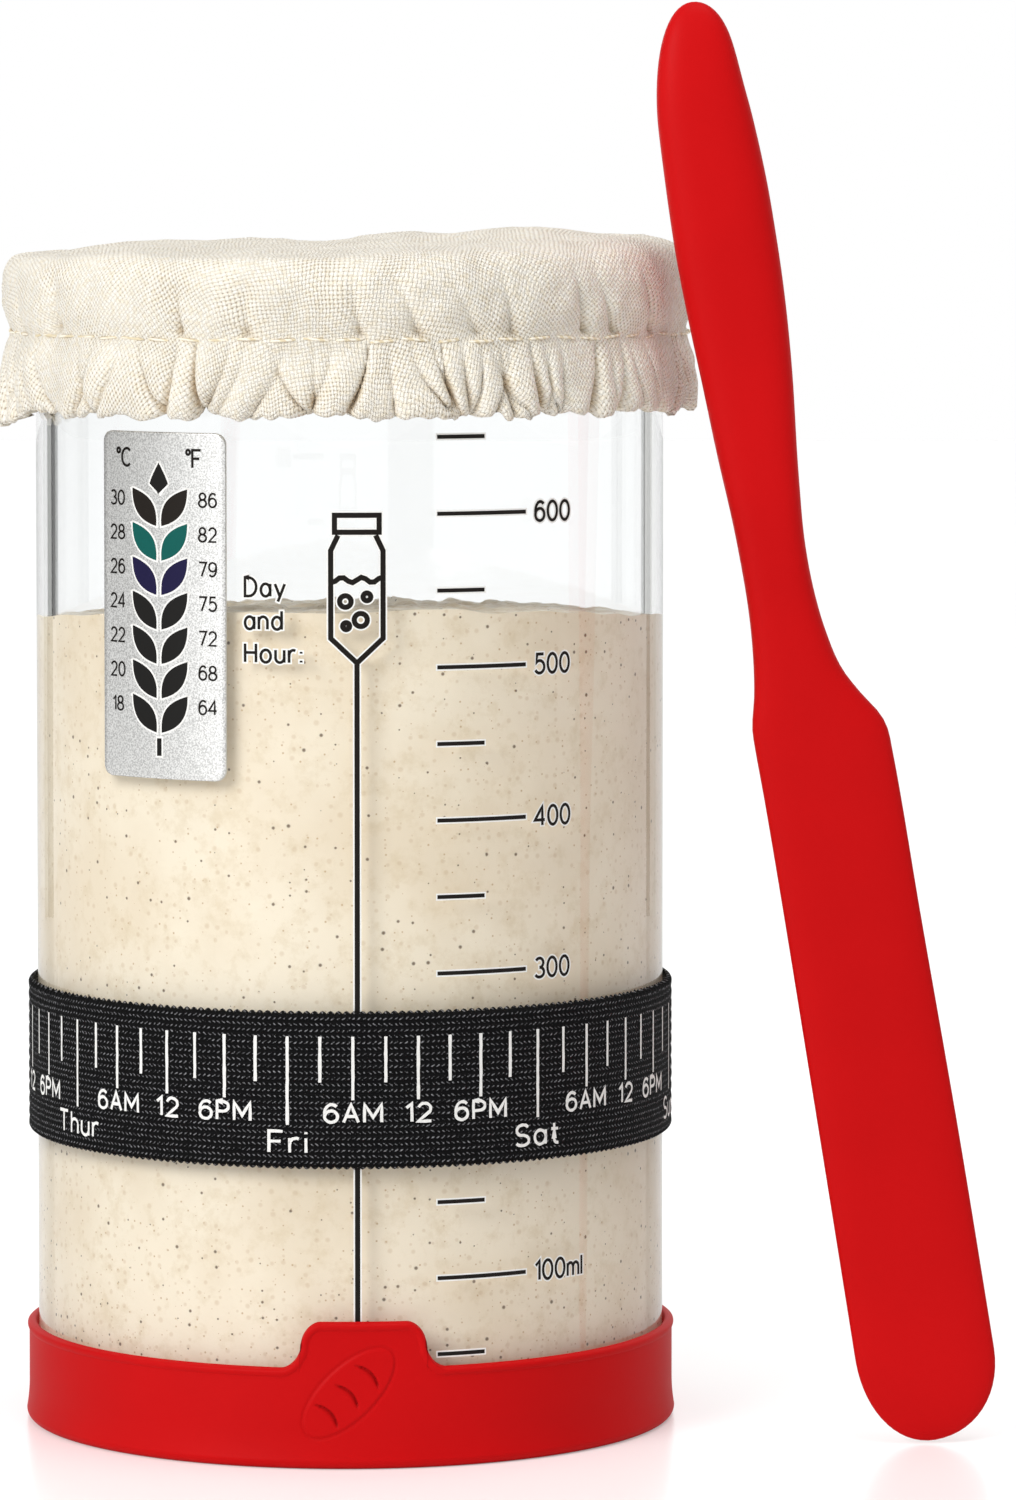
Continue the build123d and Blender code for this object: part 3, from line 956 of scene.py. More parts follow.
@dataclass
class FootSleeve:
    """The silicone sleeve round the jar's foot, with its raised tab and loaf mark."""

    floor: float = 1.6
    inner_radius: float = 42.7
    outer_radius: float = 43.7
    flare: float = 0.35
    foot_round: float = 1.2
    rim_height: float = 13.2
    tab_height: float = 19.3
    tab_centre: float = 1.7
    tab_top: float = 11.4
    tab_foot: float = 22.0
    lip: float = 0.22
    lip_height: float = 1.1
    loaf_length: float = 15.6
    loaf_width: float = 7.1
    loaf_tilt: float = 44.0
    loaf_centre: Pair = (-0.3, 10.05)
    loaf_rise: float = 0.1
    groove: float = 0.4
    groove_depth: float = 0.1
    slash_pitch: float = 3.7
    slash_radius: float = 3.1
    slash_turn: float = 46.0
    slash_width: float = 0.75
    slash_depth: float = 0.42
    slash_edge: float = 0.16
    slash_shift: Pair = (0.9, 0.15)
    slash_ends: Pair = (0.7, 1.6)
    slash_curve: float = 1.3
    loaf_edge: Pair = (0.05, 0.35)
    rows: tuple[int, int] = (92, 26)
    fine_from: float = 0.86
    shoulder: float = 1.8
    rim_round: float = 0.12
    rim_crown: float = 0.1
    edge_round: float = 0.38
    edge_height: float = 0.4
    flare_height: float = 4.0
    front: Pair = (-0.31, 0.35)
    front_columns: int = 230
    back_columns: int = 262

    def angles(self) -> Grid:
        """Angles of the columns, close together at the front where the mark is.

        Returns:
            The angles, once round.
        """
        low, high = self.front
        back = np.linspace(high, TURN + low, self.back_columns)[1:-1]
        return np.concatenate([np.linspace(low, high, self.front_columns), back])

    def rim(self, angle: Grid) -> Grid:
        """Height of the rim: level, rising over the tab by two shoulders of opposite oval arcs.

        Args:
            angle: where the rim is read.

        Returns:
            Its height there.
        """
        reach = np.abs(wrapped(angle) * self.outer_radius - self.tab_centre)
        t = np.clip((reach - self.tab_top / 2) / ((self.tab_foot - self.tab_top) / 2), 0, 1)
        power = self.shoulder
        bend = (1 - (1 - np.abs(2 * t - 1)) ** power) ** (1 / power) * np.sign(1 - 2 * t)
        return (self.tab_height + self.rim_height) / 2 + (self.tab_height - self.rim_height) / 2 * bend

    def mark(self, x: Grid, z: Grid) -> Grid:
        """Depth of the loaf mark: a low raised oval in a fine groove, cut by three slashes.

        Distance to the oval is its equation's value over that value's slope.  A slash is a
        crescent: it drops at its circle, and rises on the inner side over a width that narrows
        as a cosine to nothing at the ends of its turn.

        Args:
            x: place along the sleeve from the front.
            z: height.

        Returns:
            The depth there.
        """
        tilt = math.radians(self.loaf_tilt)
        dx, dz = x - self.loaf_centre[0], z - self.loaf_centre[1]
        u = dx * math.cos(tilt) + dz * math.sin(tilt)
        v = dz * math.cos(tilt) - dx * math.sin(tilt)
        a, b = self.loaf_length / 2, self.loaf_width / 2
        size = np.sqrt((u / a) ** 2 + (v / b) ** 2) + TINY
        slope = np.sqrt((u / a**2) ** 2 + (v / b**2) ** 2) / size + TINY
        near = (1 - size) / slope
        depth = np.exp(-((near / (self.groove / 2)) ** 2)) * self.groove_depth
        edge, wide = self.loaf_edge
        inside = np.clip((near - edge) / wide, 0, 1)
        depth = depth - self.loaf_rise * inside * inside * (3 - 2 * inside)
        back, up = self.slash_shift
        taper, reach = self.slash_ends
        for place in (-1, 0, 1):
            cu, cv = u - place * self.slash_pitch + self.slash_radius * back, v + up
            ring = np.hypot(cu, cv) - self.slash_radius
            turn = np.degrees(np.arctan2(cv, cu)) / self.slash_turn
            ends = np.cos(math.pi / 2 * np.clip(turn, -1, 1)) ** taper
            fall = np.clip(1 + ring / (self.slash_width * ends + 0.02), 0, 1)
            drop = np.clip(1 - ring / self.slash_edge, 0, 1) ** 2 * fall**self.slash_curve
            depth = depth + drop * np.clip(ends * reach, 0, 1) * self.slash_depth
        return depth

    def below_rim(self, angle: Grid, rim: Grid, z: Grid) -> Grid:
        """Distance to the rim: straight up, or less where a shoulder of the tab is nearer.

        Args:
            angle: angles of the columns.
            rim: height of the rim at each.
            z: heights of the points.

        Returns:
            The distance of each point.
        """
        below = rim - z
        front = slice(self.front_columns)
        ahead = angle[front] * self.outer_radius
        fine = np.linspace(ahead[0, 0], ahead[-1, 0], 600)
        line = self.rim(fine / self.outer_radius)
        apart = np.hypot(ahead[..., None] - fine, z[front, :, None] - line)
        below[front] = np.minimum(apart.min(axis=-1), below[front])
        return below

    def build(self, material: Material) -> None:
        """Make the sleeve as one closed grid: under the foot, up the outside, down the inside.

        Args:
            material: its silicone.
        """
        angle = self.angles()[:, None]
        start = self.foot_round
        foot = arc((self.outer_radius + self.flare - start, start), start, -90, 0, 9)
        under = np.concatenate([[[0, 0], [20.0, 0], [36.0, 0]], foot])
        outside = round_jar(angle, under[None, :, 0], under[None, :, 1])
        (low, high), knee = self.rows, self.fine_from
        rise = np.concatenate([np.linspace(0, knee, low)[1:], np.linspace(knee, 1, high)[1:]])[None, :]
        rim = self.rim(angle)
        z = start + (rim - start) * rise
        radius = self.outer_radius + self.flare * (1 - np.clip((z - start) / self.flare_height, 0, 1)) ** 2
        below = self.below_rim(angle, rim, z)
        radius += self.lip * np.sin(math.pi * np.clip(below / self.lip_height, 0, 1)) ** 0.8
        radius -= np.clip(1 - below / self.edge_height, 0, 1) ** 2 * self.edge_round
        wall = round_jar(angle, radius - self.mark(wrapped(angle) * self.outer_radius, z), z)
        mid = (self.inner_radius + self.outer_radius) / 2
        inner_edge = self.inner_radius + self.rim_round
        top = round_jar(angle, np.array([[mid, inner_edge]]), rim + np.array([[self.rim_crown, 0.0]]))
        down = np.array([0.99, 0.7, 0.4, 0.0])[None, :]
        inside = round_jar(angle, self.inner_radius, self.floor + (rim - self.floor) * down)
        floor = round_jar(angle, np.array([[30.0, 0.0]]), self.floor)
        points = np.concatenate([outside, wall, top, inside, floor], axis=1)[:, ::-1]
        made = mesh_object("sleeve", points, grid_faces(*points.shape[:2], Close.AROUND))
        join_points(made)
        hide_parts("base_sleeve")
        finish_with(made, material, "base")


@dataclass
class GlassJar:
    """The straight glass jar with its printed volume marks, pointer and words."""

    radius: float = 42.4
    wall: float = 2.5
    base: float = 1.6
    floor: float = 4.7
    rim: float = 157.5
    foot_round: float = 3.6
    inner_round: float = 3.0
    punt_radius: float = 30.0
    punt_depth: float = 0.7
    per_hundred: float = 20.0
    half_marks: int = 13
    bare_mark: int = 4
    line: float = 0.52
    halo: float = 0.2
    label_stroke: float = 0.4
    word_stroke: float = 0.37
    mark_start: float = 15.5
    long_end: float = 32.8
    short_end: float = 24.4
    label_start: float = 34.8
    figure: float = 2.5
    pointer_turn: float = 1.2
    pointer_width: float = 0.68
    pointer_foot: float = 18.9
    sign_foot: float = 105.4
    sign_top: float = 124.6
    words_start: float = -13.9
    word_height: float = 2.4
    words: tuple[tuple[str, float], ...] = (("Day", 114.0), ("and", 109.7), ("Hour:", 105.4))
    label_track: float = 0.24
    word_track: float = 0.27
    ink_lift: float = 0.035
    halo_lift: float = 0.018

    def glass(self, material: Material) -> None:
        """Turn the jar's wall: under the punt, up the outside, over the rounded rim, down the inside.

        Args:
            material: its glass.
        """
        inner, lip = self.radius - self.wall, self.wall / 2
        base, punt, foot, corner = self.base, self.punt_radius, self.foot_round, self.inner_round
        top = self.rim - lip
        profile = np.concatenate(
            [
                [[0, base + self.punt_depth], [punt * 0.6, base + self.punt_depth * 0.85]],
                [[punt, base + 0.05], [punt + 1.5, base]],
                arc((self.radius - foot, base + foot), foot, -90, 0, 12),
                np.stack([np.full(20, self.radius), np.linspace(8, top - 1, 20)], axis=-1),
                arc((self.radius - lip, top), lip, 0, 180, 17),
                np.stack([np.full(20, inner), np.linspace(top - 1, 10, 20)], axis=-1),
                arc((inner - corner, self.floor + corner), corner, 0, -90, 10),
                [[20.0, self.floor], [0, self.floor]],
            ]
        )
        made = lathe("jar_wall", profile[::-1], 288)
        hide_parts("glass_jar")
        finish_with(made, material, "jar")

    def marks(self, pen: Pen) -> tuple[list[Grid], list[Grid]]:
        """Strokes of the volume scale: a long line each 100 ml, a short one between.

        The band hides the label at the bare mark, so it has none.

        Args:
            pen: the alphabet.

        Returns:
            The lines, and the labels.
        """
        strokes, labels = [], []
        for half in range(1, self.half_marks + 1):
            z = self.floor + half * self.per_hundred / 2
            whole = half % 2 == 0
            end = self.long_end if whole else self.short_end
            strokes.append(np.array([[self.arc_at(self.mark_start), z], [self.arc_at(end), z]]))
            if whole and half != self.bare_mark:
                label = f"{half * 50}" + ("ml" if half == 2 else "")
                start = self.arc_at(self.label_start)
                labels += pen.write(label, self.figure, start, z - self.figure / 2, track=self.label_track)
        return strokes, labels

    def arc_at(self, degrees: float) -> float:
        """Length along the glass at an angle from the front."""
        return math.radians(degrees) * self.radius

    def sign(self) -> list[Grid]:
        """Strokes of a plain jar sign over the pointer: lid, wall, level and bubbles.

        Returns:
            The strokes.
        """
        x, low, high = self.arc_at(self.pointer_turn), self.sign_foot, self.sign_top
        half, cap, rim = 3.4, 2.9, high - 2.2
        wall = [[x, low], [x - half, low + 3.2], [x - half, high - 4.6], [x - half * 0.72, high - 2.6]]
        mirror = [[2 * x - a, b] for a, b in wall]
        lid = Pen.line(x - cap, rim, x + cap, rim, x + cap, high, x - cap, high, x - cap, rim)
        turn = np.linspace(-half, half, 13)
        level = np.stack([x + turn, high - 8.4 + 0.35 * np.sin(turn * 2.4)], axis=-1)
        bubbles = [
            Pen.oval(x + a, high - b, r, r)
            for a, b, r in ((-1.5, 11.2, 0.75), (1.3, 10.6, 0.5), (0.5, 13.6, 0.85), (-1.4, 14.4, 0.45))
        ]
        return [np.array(wall), np.array(mirror), lid, level, *bubbles]

    def prints(self, ink: Material, white: Material) -> None:
        """Lay the prints on the glass, black over a slightly wider white.

        Args:
            ink: the black enamel.
            white: the enamel under it.
        """
        pen = Pen()
        x = self.arc_at(self.pointer_turn)
        bold = [np.array([[x, self.pointer_foot], [x, self.sign_foot]]), *self.sign()]
        lines, labels = self.marks(pen)
        words = []
        for text, z in self.words:
            words += pen.write(text, self.word_height, self.words_start, z, track=self.word_track)
        sets = (
            ("marks", lines, self.line),
            ("labels", labels, self.label_stroke),
            ("pointer", bold, self.pointer_width),
            ("words", words, self.word_stroke),
        )
        for name, strokes, width in sets:
            black = ribbons(f"print_{name}", strokes, width, self.radius + self.ink_lift)
            around, under = width + 2 * self.halo, self.radius + self.halo_lift
            pale = ribbons(f"print_{name}_edge", strokes, around, under, spread=self.halo)
            finish_with(black, ink, "jar")
            finish_with(pale, white, "jar")


@dataclass
class Starter:
    """The dough that fills the lower part of the jar."""

    radius: float = 39.93
    floor: float = 4.67
    corner: float = 3.0
    mean_level: float = 109.1
    front_rise: float = 2.6
    second_rise: float = 0.3
    crown: float = 0.9
    edge_unevenness: float = 0.25
    lumps: float = 0.55
    bubbles: float = 0.16
    edge_gap: float = 0.02

    def build(self, material: Material) -> None:
        """Make the dough: a filleted foot, sides on the glass, and a crowned, wrinkled top.

        The edge of the top follows a sum of two cosines round the jar, and the top is that
        edge blended to a low crown with seeded waves, fading to nothing at the glass.

        Args:
            material: its dough.
        """
        angle = np.linspace(-math.pi, math.pi, 289)[:, None]
        level = self.mean_level + self.front_rise * np.cos(angle) + self.second_rise * np.cos(2 * angle)
        around = self.radius * np.sin(angle), self.radius * np.cos(angle)
        level = level + self.edge_unevenness * waves(5, 9, 6.0, 26.0, *around)
        share = np.append(np.linspace(0, 0.96, 44), [0.975, 0.988, 0.996, 1.0])[None, :]
        x, y = self.radius * share * np.sin(angle), -self.radius * share * np.cos(angle)
        ripple = waves(21, 26, 3.5, 16.0, x, y) * self.lumps + waves(22, 18, 1.2, 3.0, x, y) * self.bubbles
        edge = level - self.mean_level
        swell = (1 - share**6) * self.crown + ripple * (1 - share**8)
        top = round_jar(angle, self.radius * share, self.mean_level + edge * share**2 + swell)
        low = level - self.edge_gap
        side_share = np.append(1 - 0.5 * np.linspace(0, 1, 12) ** 3, np.linspace(0.45, 0, 6))[None, :]
        base = self.floor + self.corner
        side = round_jar(angle, self.radius, base + (low - base) * side_share)
        foot = arc((self.radius - self.corner, base), self.corner, 0, -90, 8)[1:]
        foot = np.append(foot, [[0.0, self.floor]], axis=0)
        under = round_jar(angle, foot[None, :, 0], foot[None, :, 1])
        points = np.concatenate([top, side, under], axis=1)
        down = np.concatenate([low + self.radius * (1 - share), base + (low - base) * side_share], axis=1)
        down = np.concatenate([down, base - self.radius + np.hypot(under[..., 0], under[..., 1])], axis=1)
        uv = np.stack([angle * self.radius + 0 * down, down], axis=-1)
        made = mesh_object("starter_fill", points, grid_faces(*points.shape[:2]), uv)
        join_points(made)
        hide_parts("starter")
        finish_with(made, material, "jar")


class Patch(Enum):
    """States of a liquid crystal patch, with the colour that each shows."""

    IDLE = "1d1c1b"
    WARM = "231e1a"
    RIGHT = "0d5c55"
    COOL = "1e1a40"


@dataclass
class Thermometer:
    """The silver strip with its bud over seven pairs of leaves, and figures on both sides."""

    turn: float = -35.7
    face: float = 42.76
    width: float = 20.0
    bottom: float = 89.7
    height: float = 45.4
    corner: float = 1.5
    film: float = 0.2
    leaf_film: float = 0.05
    border: float = 0.5
    pitch: float = 4.51
    first: float = 6.05
    leaf_height: float = 4.9
    leaf_width: float = 4.05
    leaf_gap: float = 0.84
    leaf_pulls: tuple[tuple[Pair, ...], ...] = (
        ((0.55, 0.10), (1.02, 0.32)),
        ((-0.04, 0.45), (0.08, 0.80)),
    )
    stem: Triple = (0.73, 2.3, 3.0)
    bud: Triple = (2.93, 4.05, 0.65)
    figure: float = 1.8
    unit: float = 2.3
    stroke: float = 0.26
    celsius: tuple[int, ...] = (18, 20, 22, 24, 26, 28, 30)
    fahrenheit: tuple[int, ...] = (64, 68, 72, 75, 79, 82, 86)
    first_figure: float = 9.6
    scale_places: Pair = (-7.3, 7.45)
    unit_places: Pair = (-6.15, 5.4)
    unit_height: float = 42.0
    border_lift: float = 0.02
    print_lift: float = 0.03

    def wrap(self, x: Grid, z: Grid, lift: float = 0.0) -> Grid:
        """Points of the strip's flat drawing, wrapped on its face."""
        return round_jar(math.radians(self.turn) + x / self.face, self.face + lift, self.bottom + z)

    def sheet(self, material: Material) -> None:
        """Make the strip: rows that get shorter round the corners, with a thickness.

        Args:
            material: its film.
        """
        steps = np.linspace(0, self.corner, 8)
        inset = self.corner - np.sqrt(np.maximum(self.corner**2 - (self.corner - steps) ** 2, 0))
        z = np.concatenate([steps, np.linspace(3, self.height - 3, 12), self.height - steps[::-1]])
        half = self.width / 2 - np.concatenate([inset, np.zeros(12), inset[::-1]])
        across = np.linspace(-1, 1, 29)[:, None]
        points = self.wrap(across * half[None, :], z[None, :] + across * 0)[:, ::-1]
        made = mesh_object("strip_film", points, grid_faces(*points.shape[:2]))
        wall = made.modifiers.new("thickness", "SOLIDIFY")
        wall.thickness, wall.offset = self.film * MM, -1.0
        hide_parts("thermometer_strip")
        finish_with(made, material, "jar")

    def sweep(self, *points: Pair) -> Grid:
        """A cubic curve from the first point to the last, pulled by the two between them.

        Args:
            points: the four points.

        Returns:
            Points along the curve.
        """
        a, b, c, d = (np.array(point) for point in points)
        t = np.linspace(0, 1, 25)[:, None]
        return (1 - t) ** 3 * a + 3 * t * (1 - t) ** 2 * b + 3 * t**2 * (1 - t) * c + t**3 * d

    def outline(self, side: int, height: float) -> tuple[Grid, Grid]:
        """Edges of one leaf, from its foot to its tip.

        Args:
            side: -1 at the left of the stem, 1 at the right.
            height: height of its foot on the strip.

        Returns:
            The lower and the upper edge.
        """
        size = np.array([side * self.leaf_width, self.leaf_height])
        foot = np.array([side * self.leaf_gap / 2, height])
        under, over = (self.sweep((0, 0), *pulls, (1, 1)) for pulls in self.leaf_pulls)
        return foot + under * size, foot + over * size

    def patch(self, name: str, under: Grid, over: Grid, lift: float) -> Object:
        """Fill between two edges, a grid of straight lines from one to the other.

        Args:
            name: the object's name.
            under: points of the lower edge.
            over: points of the upper edge.
            lift: height above the strip's face.

        Returns:
            The patch, facing outwards.
        """
        share = np.linspace(0, 1, 7)[:, None, None]
        flat = under[None] * (1 - share) + over[None] * share
        points = self.wrap(flat[..., 0], flat[..., 1], lift)
        made = join_points(mesh_object(name, points, grid_faces(*points.shape[:2])))
        middle = made.data.polygons[len(made.data.polygons) // 2]
        if middle.normal.dot(middle.center * LEVEL) < 0:
            made.data.flip_normals()
        return made

    def build(self, film: Material, ink: Material, white: Material) -> None:
        """Make the strip, its patches and its figures.

        Args:
            film: the silver film.
            ink: the ink of the figures.
            white: the ink round the patches.
        """
        self.sheet(film)
        states = {5: Patch.RIGHT, 4: Patch.COOL, 6: Patch.WARM}
        materials = {
            state: Ink(f"crystal_film_{state.name.lower()}", 0.4, state.value, gloss=0.12).build()
            for state in Patch
        }
        borders, made = [], []
        for pair in range(len(self.celsius)):
            for side in (-1, 1):
                under, over = self.outline(side, self.first + pair * self.pitch)
                borders.append(np.concatenate([under, over[::-1]]))
                name = f"leaf_{pair + 1}_{'left' if side < 0 else 'right'}"
                piece = self.patch(name, under, over, self.leaf_film)
                state = states.get(pair, Patch.IDLE)
                made.append(finish_with(piece, materials[state], "jar"))
        top = self.first + (len(self.celsius) - 1) * self.pitch + self.leaf_height - self.bud[2]
        flank = self.sweep((1, 0.33), (0.82, 0.55), (0.3, 0.82), (0, 1))
        kite = np.concatenate([Pen.line(0, 0, 1, 0.31), flank])
        edges = [kite * (side * self.bud[0] / 2, self.bud[1]) + (0, top) for side in (-1, 1)]
        wide, long, low = self.stem
        posts = [np.array([[s * wide / 2, low], [s * wide / 2, low + long]]) for s in (-1, 1)]
        for name, (under, over) in (("bud", edges), ("stem", posts)):
            borders.append(np.concatenate([under, over[::-1], under[:1]]))
            piece = self.patch(name, under, over, self.leaf_film)
            made.append(finish_with(piece, materials[Patch.IDLE], "jar"))
        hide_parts("thermometer_leaves")
        shift = math.radians(self.turn) * self.face
        lines = [stroke + (shift, self.bottom) for stroke in borders]
        edge = ribbons("leaf_borders", lines, self.border, self.face + self.border_lift)
        finish_with(edge, white, "jar")
        self.figures(ink, shift)

    def figures(self, ink: Material, shift: float) -> None:
        """Print the two scales and their units.

        Args:
            ink: the ink of the figures.
            shift: place of the strip's middle along its face.
        """
        pen, strokes, units = Pen(), [], []
        for row, pair in enumerate(zip(self.celsius, self.fahrenheit)):
            z = self.bottom + self.first_figure + row * self.pitch - self.figure / 2
            for value, x in zip(pair, self.scale_places):
                strokes += pen.write(str(value), self.figure, shift + x, z, 0.5, 0.2)
        z = self.bottom + self.unit_height - self.unit / 2
        for text, x in zip(("°C", "°F"), self.unit_places):
            units += pen.write(text, self.unit, shift + x, z, 0.5, 0.16)
        sets = (("strip_figures", strokes, self.stroke), ("strip_units", units, self.stroke * 1.3))
        for name, lines, width in sets:
            finish_with(ribbons(name, lines, width, self.face + self.print_lift), ink, "jar")


@dataclass
class DateBand:
    """The black elastic band with a week of days and hours, sewn closed at the back."""

    bottom: float = 39.5
    height: float = 20.4
    inner_radius: float = 42.7
    outer_radius: float = 43.65
    edge_round: float = 0.45
    loops: int = 260
    ribs: int = 13
    rib_depth: float = 0.2
    loop_rise: float = 0.36
    columns: int = 1040
    day_turn: float = 45.1
    friday: float = -10.9
    hours: int = 8
    tick_top: float = 3.1
    ticks: Triple = (6.0, 8.3, 11.6)
    stroke: float = 0.42
    letter_stroke: float = 0.4
    hour_figure: float = 2.35
    hour_gap: float = 0.55
    day_figure: float = 2.75
    day_gap: float = 0.85
    lap_length: float = 12.0
    lap_thickness: float = 0.95
    lap_gap: float = 0.02
    tack_rows: int = 2
    tack_count: int = 9
    tack_length: float = 1.6
    tack_radius: float = 0.22
    tack_bow: float = 0.16
    tack_lift: float = 0.1
    loop_depth: float = 0.035
    edge_share: float = 30.0
    print_lift: float = 0.03
    print_waver: float = 0.16
    letter_track: float = 0.34
    letter_wide: float = 1.24

    def skin(self, inner: float, outer: float, angle: Grid) -> Grid:
        """Section of the woven strap at each angle.

        Down the outside the ribs swell as a power of a sine, and both edges rise and fall with
        the loops of the weft.

        Args:
            inner: radius of the inside.
            outer: radius of the outside.
            angle: angles of the sections.

        Returns:
            The points, down the outside and up the inside.
        """
        swell = np.abs(np.sin(angle * self.loops / 2))
        share = np.linspace(0, 1, 62)[None, :]
        rib = np.abs(np.sin(math.pi * self.ribs * share)) ** 0.7
        bite = self.rib_depth * (1 - rib) + self.loop_depth * (1 - swell) * rib
        top, foot = (np.clip(1 - part * self.edge_share, 0, 1) ** 2 for part in (share, 1 - share))
        radius = outer - bite - self.edge_round * (top + foot) + 0 * angle
        stretch = (share - 0.5) * 2
        half = (self.height + self.loop_rise) / 2 - self.loop_rise * (1 - swell)
        z = self.bottom + self.height / 2 - stretch * half
        inside = self.bottom + self.height * np.array([[0.04, 0.5, 0.96]]) + 0 * angle
        return np.concatenate([round_jar(angle, radius, z), round_jar(angle, inner, inside)], axis=1)

    def strap(self, material: Material) -> None:
        """Make the band all the way round, and its end lapped over the start at the back.

        Args:
            material: the black elastic.
        """
        angle = np.linspace(0, TURN, self.columns + 1)[:, None]
        ring = self.skin(self.inner_radius, self.outer_radius, angle)
        reach = self.lap_length / 2 / self.outer_radius
        turn = math.pi + np.linspace(-reach, reach, 49)[:, None]
        low = self.outer_radius + self.lap_gap
        lap = self.skin(low, low + self.lap_thickness, turn)
        parts = (("band", ring, angle, "date_band"), ("band_end", lap, turn, "band_lap"))
        for name, points, at, node in parts:
            along, rows = at * self.outer_radius + 0 * points[..., 0], points[..., 2]
            uv = np.stack([along, rows - self.bottom], axis=-1)
            made = mesh_object(name, points, grid_faces(*points.shape[:2], Close.SECTION), uv)
            join_points(made)
            # The lap has two cut ends to fill, and the ring has none.
            with editing(made) as work:
                bmesh.ops.holes_fill(work, edges=[edge for edge in work.edges if edge.is_boundary])
                bmesh.ops.recalc_face_normals(work, faces=work.faces)
            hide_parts(node)
            finish_with(made, material, "date_band")

    def week(self, material: Material) -> None:
        """Print the ticks, hours and day names.

        Args:
            material: the white print.
        """
        pen, strokes, letters = Pen(), [], []
        top = self.bottom + self.height - self.tick_top
        days = list(Day)
        first = days.index(Day.TUESDAY)
        for number in range(len(days)):
            day = days[(first + number) % len(days)]
            start = self.friday + (number + first - days.index(Day.FRIDAY)) * self.day_turn
            for hour in range(self.hours):
                x = math.radians(start + hour * self.day_turn / self.hours) * self.outer_radius
                kind = 2 if hour == 0 else 1 - hour % 2
                strokes.append(np.array([[x, top], [x, top - self.ticks[kind]]]))
                label = {0: day.value, 2: "6AM", 4: "12", 6: "6PM"}.get(hour)
                if label:
                    size = self.day_figure if hour == 0 else self.hour_figure
                    gap = self.day_gap if hour == 0 else self.hour_gap
                    z = top - self.ticks[kind] - gap - size
                    letters += pen.write(label, size, x, z, 0.5, self.letter_track, self.letter_wide)
        sets = (("band_ticks", strokes, self.stroke), ("band_letters", letters, self.letter_stroke))
        for name, lines, width in sets:
            printed = ribbons(name, lines, width, self.outer_radius + self.print_lift, self.print_waver)
            finish_with(printed, material, "date_band")

    def tacks(self, material: Material) -> None:
        """Sew the two rows of bar tacks: short level threads, bowed into the strap at their ends.

        Args:
            material: the black thread.
        """
        face = self.outer_radius + self.lap_gap + self.lap_thickness
        spacing = self.height / (self.tack_count + 1)
        reach = (self.lap_length - 2 * self.tack_length) / face / 2
        rows = np.linspace(-reach, reach, self.tack_rows)
        heights = self.bottom + spacing * np.arange(1, self.tack_count + 1)
        turn, z = (grid.reshape(-1, 1) for grid in np.meshgrid(math.pi + rows, heights))
        t = np.linspace(-1, 1, THREAD_STEPS)
        angle = turn + t * self.tack_length / 2 / face
        radius = face + self.tack_lift - self.tack_bow * t**4 + 0 * angle
        made = sew("band_tacks", angle, radius, z + 0 * t, self.tack_radius)
        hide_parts("band_stitching")
        finish_with(made, material, "date_band")

    def build(self, knit: Material, ink: Material, thread: Material) -> None:
        """Make the band.

        Args:
            knit: the black elastic.
            ink: the white print.
            thread: the black thread.
        """
        self.strap(knit)
        self.week(ink)
        self.tacks(thread)


